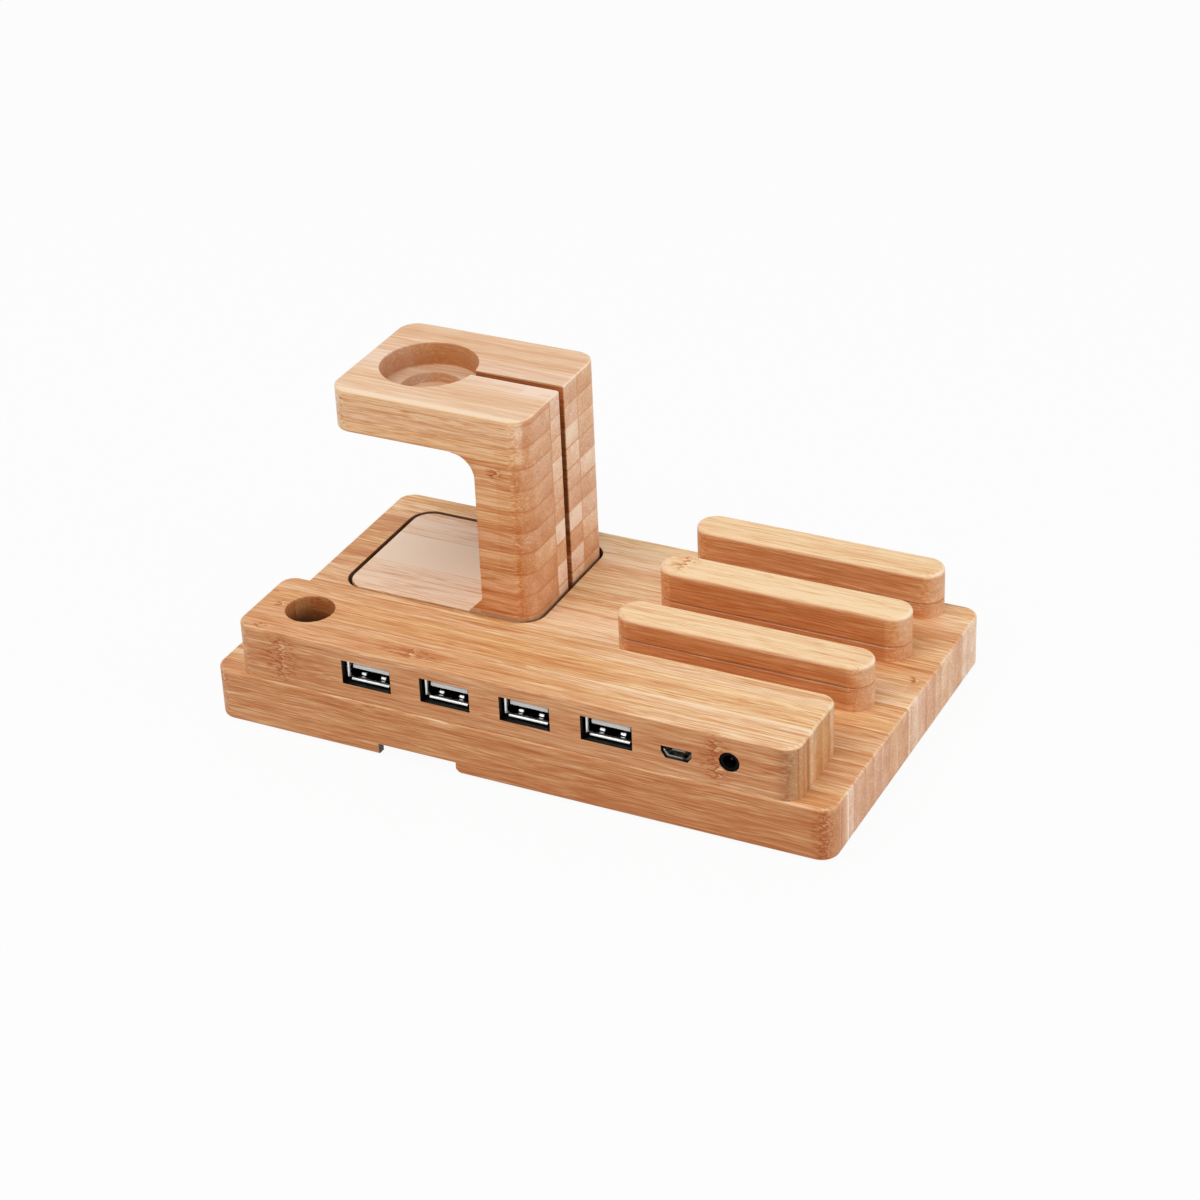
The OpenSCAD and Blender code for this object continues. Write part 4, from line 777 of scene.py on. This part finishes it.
class STATION_OT_hub(Operator):
    """Finish the circuit board and its parts, and solder the sockets' pins"""

    bl_idname = "station.hub"
    bl_label = "Hub"

    def execute(self, context):
        sizes = context.scene.station_sizes
        dress(["circuit_board"], solder_mask())
        dress(["chip_resistors"], resistor_finish())
        # Spark-eroded mould: charcoal, with a fine matt grit
        hub_finish(["hub_chip"], "Epoxy moulding compound, sparked", "#26272A", "#17181A", 0.12, (0.5, 0.65), 0.02)
        # Matt tin over copper: pale grey, a little cloudy
        hub_finish(["hub_chip_leads"], "Copper leads, tinned", "#C6C7C8", "#9B9C9D", 0.3, (0.28, 0.4), 0.004, **METAL)
        # Deep-drawn can: warm silver, with faint lines up its sides
        hub_finish(["crystal"], "Nickel silver can, drawn", "#CFCEC8", "#B2B0A9", 0.4, (0.2, 0.3), 0.004,
                   (1, 1, 0.15), **METAL)
        # Drawn cans under clear lacquer: bright sides, a black base, and a black mark on the top
        marks = [((13, -50, 22, 21, -35, 23.2), "#151515", 0.05), ((13, -50, 27.4, 15.7, -35, 28), "#1A1A1C", 0.1)]
        hub_finish(["smoothing_capacitors"], "Aluminium cans, drawn and lacquered", "#CBCCCE", "#A9AAAD", 0.3,
                   (0.28, 0.4), 0.005, (1, 1, 0.1), marks, **METAL)
        # Sintered powder: grey-black, grainy and matt
        hub_finish(["power_inductor"], "Ferrite, sintered and tumbled", "#3A393A", "#252425", 0.25, (0.55, 0.75), 0.03)
        # Reflowed solder: smooth, bright and slightly clouded
        solder = hub_finish([], "Tin solder, reflowed", "#D3D4D5", "#A7A8AA", 0.35, (0.18, 0.34), 0.006, **METAL)
        # In mm: the board's underside, the rows of pins and legs, the tongue, and a leg from its socket's middle
        under, pin_row, leg_row, tongue_width, leg_out = 20.65, -37.45, -43.42, 11.1, 6.4
        pin_shares = (-0.315, -0.09, 0.09, 0.315)
        pins = [(x + share * tongue_width, pin_row, under) for x in SOCKET_X for share in pin_shares]
        legs = [(x + side * leg_out, leg_row, under) for x in SOCKET_X for side in (-1, 1)]
        joint = kept_tree("Solder joint", solder_tree)
        grow("pin_solder", joint, pins, "dock", "steel", Height=sizes.solder_rise, Foot_Radius=sizes.solder_foot,
             Material=solder)
        grow("leg_solder", joint, legs, "dock", "steel", Height=sizes.solder_rise, Foot_Radius=sizes.solder_foot,
             Stretch=(1.0, 2.2, 1.0), Material=solder)
        # Enamelled wire: shiny copper red
        enamel = hub_finish([], "Copper wire, enamelled", "#C4713C", "#A4552A", 0.3, (0.2, 0.3), 0.002, **METAL)
        # Turns lie 3 % of the wire's thickness apart, on the inductor's core
        coil, gap, core_radius = kept_tree("Coil", coil_tree), 1.03, 0.00222
        grow("inductor_winding", coil, [(40.26, -42.4, 23.05)], "dock", "gilt", Radius=core_radius,
             Pitch=sizes.wire * gap, Turns=4.0, Wire_Radius=sizes.wire / 2, Wire_Sides=8, Material=enamel)
        return {"FINISHED"}


class STATION_OT_fastenings(Operator):
    """Finish the cover, the screws, the dowels and the feet, and cut the screws' threads"""

    bl_idname = "station.fastenings"
    bl_label = "Fastenings"

    def execute(self, context):
        sizes = context.scene.station_sizes
        dress(["hub_cover"], hardboard())
        # Zinc plate: pale grey, bright on the heads' edges
        zinc = hub_finish(["cover_screws", "board_screws"], "Steel screws, zinc-plated", "#C3C5C6", "#9D9FA1", 0.35,
                          (0.25, 0.42), 0.006, **METAL)
        # Moulded rubber: dark and matt
        hub_finish(["rubber_feet"], "Nitrile rubber, moulded", "#313233", "#242526", 0.2, (0.6, 0.75), 0.02,
                   Specular_IOR_Level=0.3)
        # Turned beech: pale, with grain up the dowel
        hub_finish(["rail_dowels", "divider_dowels"], "Beech dowels, turned and fluted", "#DDB98C", "#BF9362", 0.5,
                   (0.5, 0.65), 0.02, (1, 1, 0.08))
        # In mm: where the threads start, the rows that the screws stand in, and the cover's two end columns
        cover_start, board_start, back_row, front_row, left, right = 6.6, 22.3, -26.5, -47.7, -57.1, 74.6
        cover = [(x, back_row, cover_start) for x in (left, -13.64, 31.14, right)]
        cover += [(x, front_row, cover_start) for x in (left, right)]
        board = [(x, y, board_start) for x in (-52, 69.5) for y in (-47.08, -37.72)]
        coil = kept_tree("Coil", coil_tree)
        grow("cover_threads", coil, cover, "dock", "steel", Radius=0.0011, Pitch=sizes.thread_pitch, Turns=4.5,
             Wire_Radius=sizes.thread_rise, Wire_Sides=3, Material=zinc)
        # The board's screws are smaller, and so is their thread
        finer, lower = 0.9, 0.8
        grow("board_threads", coil, board, "dock", "steel", Radius=0.0009, Pitch=sizes.thread_pitch * finer, Turns=3.0,
             Wire_Radius=sizes.thread_rise * lower, Wire_Sides=3, Material=zinc)
        return {"FINISHED"}


class STATION_PT_panel(Panel):
    """Lists the pieces of the station"""

    bl_label = "Charging station"
    bl_idname = "STATION_PT_panel"
    bl_space_type = "VIEW_3D"
    bl_region_type = "UI"
    bl_category = "Station"

    def draw(self, context):
        for piece in OPERATORS:
            self.layout.operator(piece.bl_idname)


OPERATORS = (STATION_OT_stage, STATION_OT_base, STATION_OT_rail, STATION_OT_dividers, STATION_OT_stand,
             STATION_OT_sockets, STATION_OT_inlets, STATION_OT_hub, STATION_OT_fastenings)
CLASSES = (StationColours, StationSizes, StationStage, *OPERATORS, STATION_PT_panel)


def register():
    for item in CLASSES:
        bpy.utils.register_class(item)
    bpy.types.Scene.station_colours = PointerProperty(type=StationColours)
    bpy.types.Scene.station_sizes = PointerProperty(type=StationSizes)
    bpy.types.Scene.station_stage = PointerProperty(type=StationStage)


def unregister():
    del bpy.types.Scene.station_stage
    del bpy.types.Scene.station_sizes
    del bpy.types.Scene.station_colours
    for item in reversed(CLASSES):
        bpy.utils.unregister_class(item)


def main():
    register()
    for piece in OPERATORS:
        getattr(bpy.ops.station, piece.bl_idname.split(".")[1])()


if __name__ == "__main__":
    main()
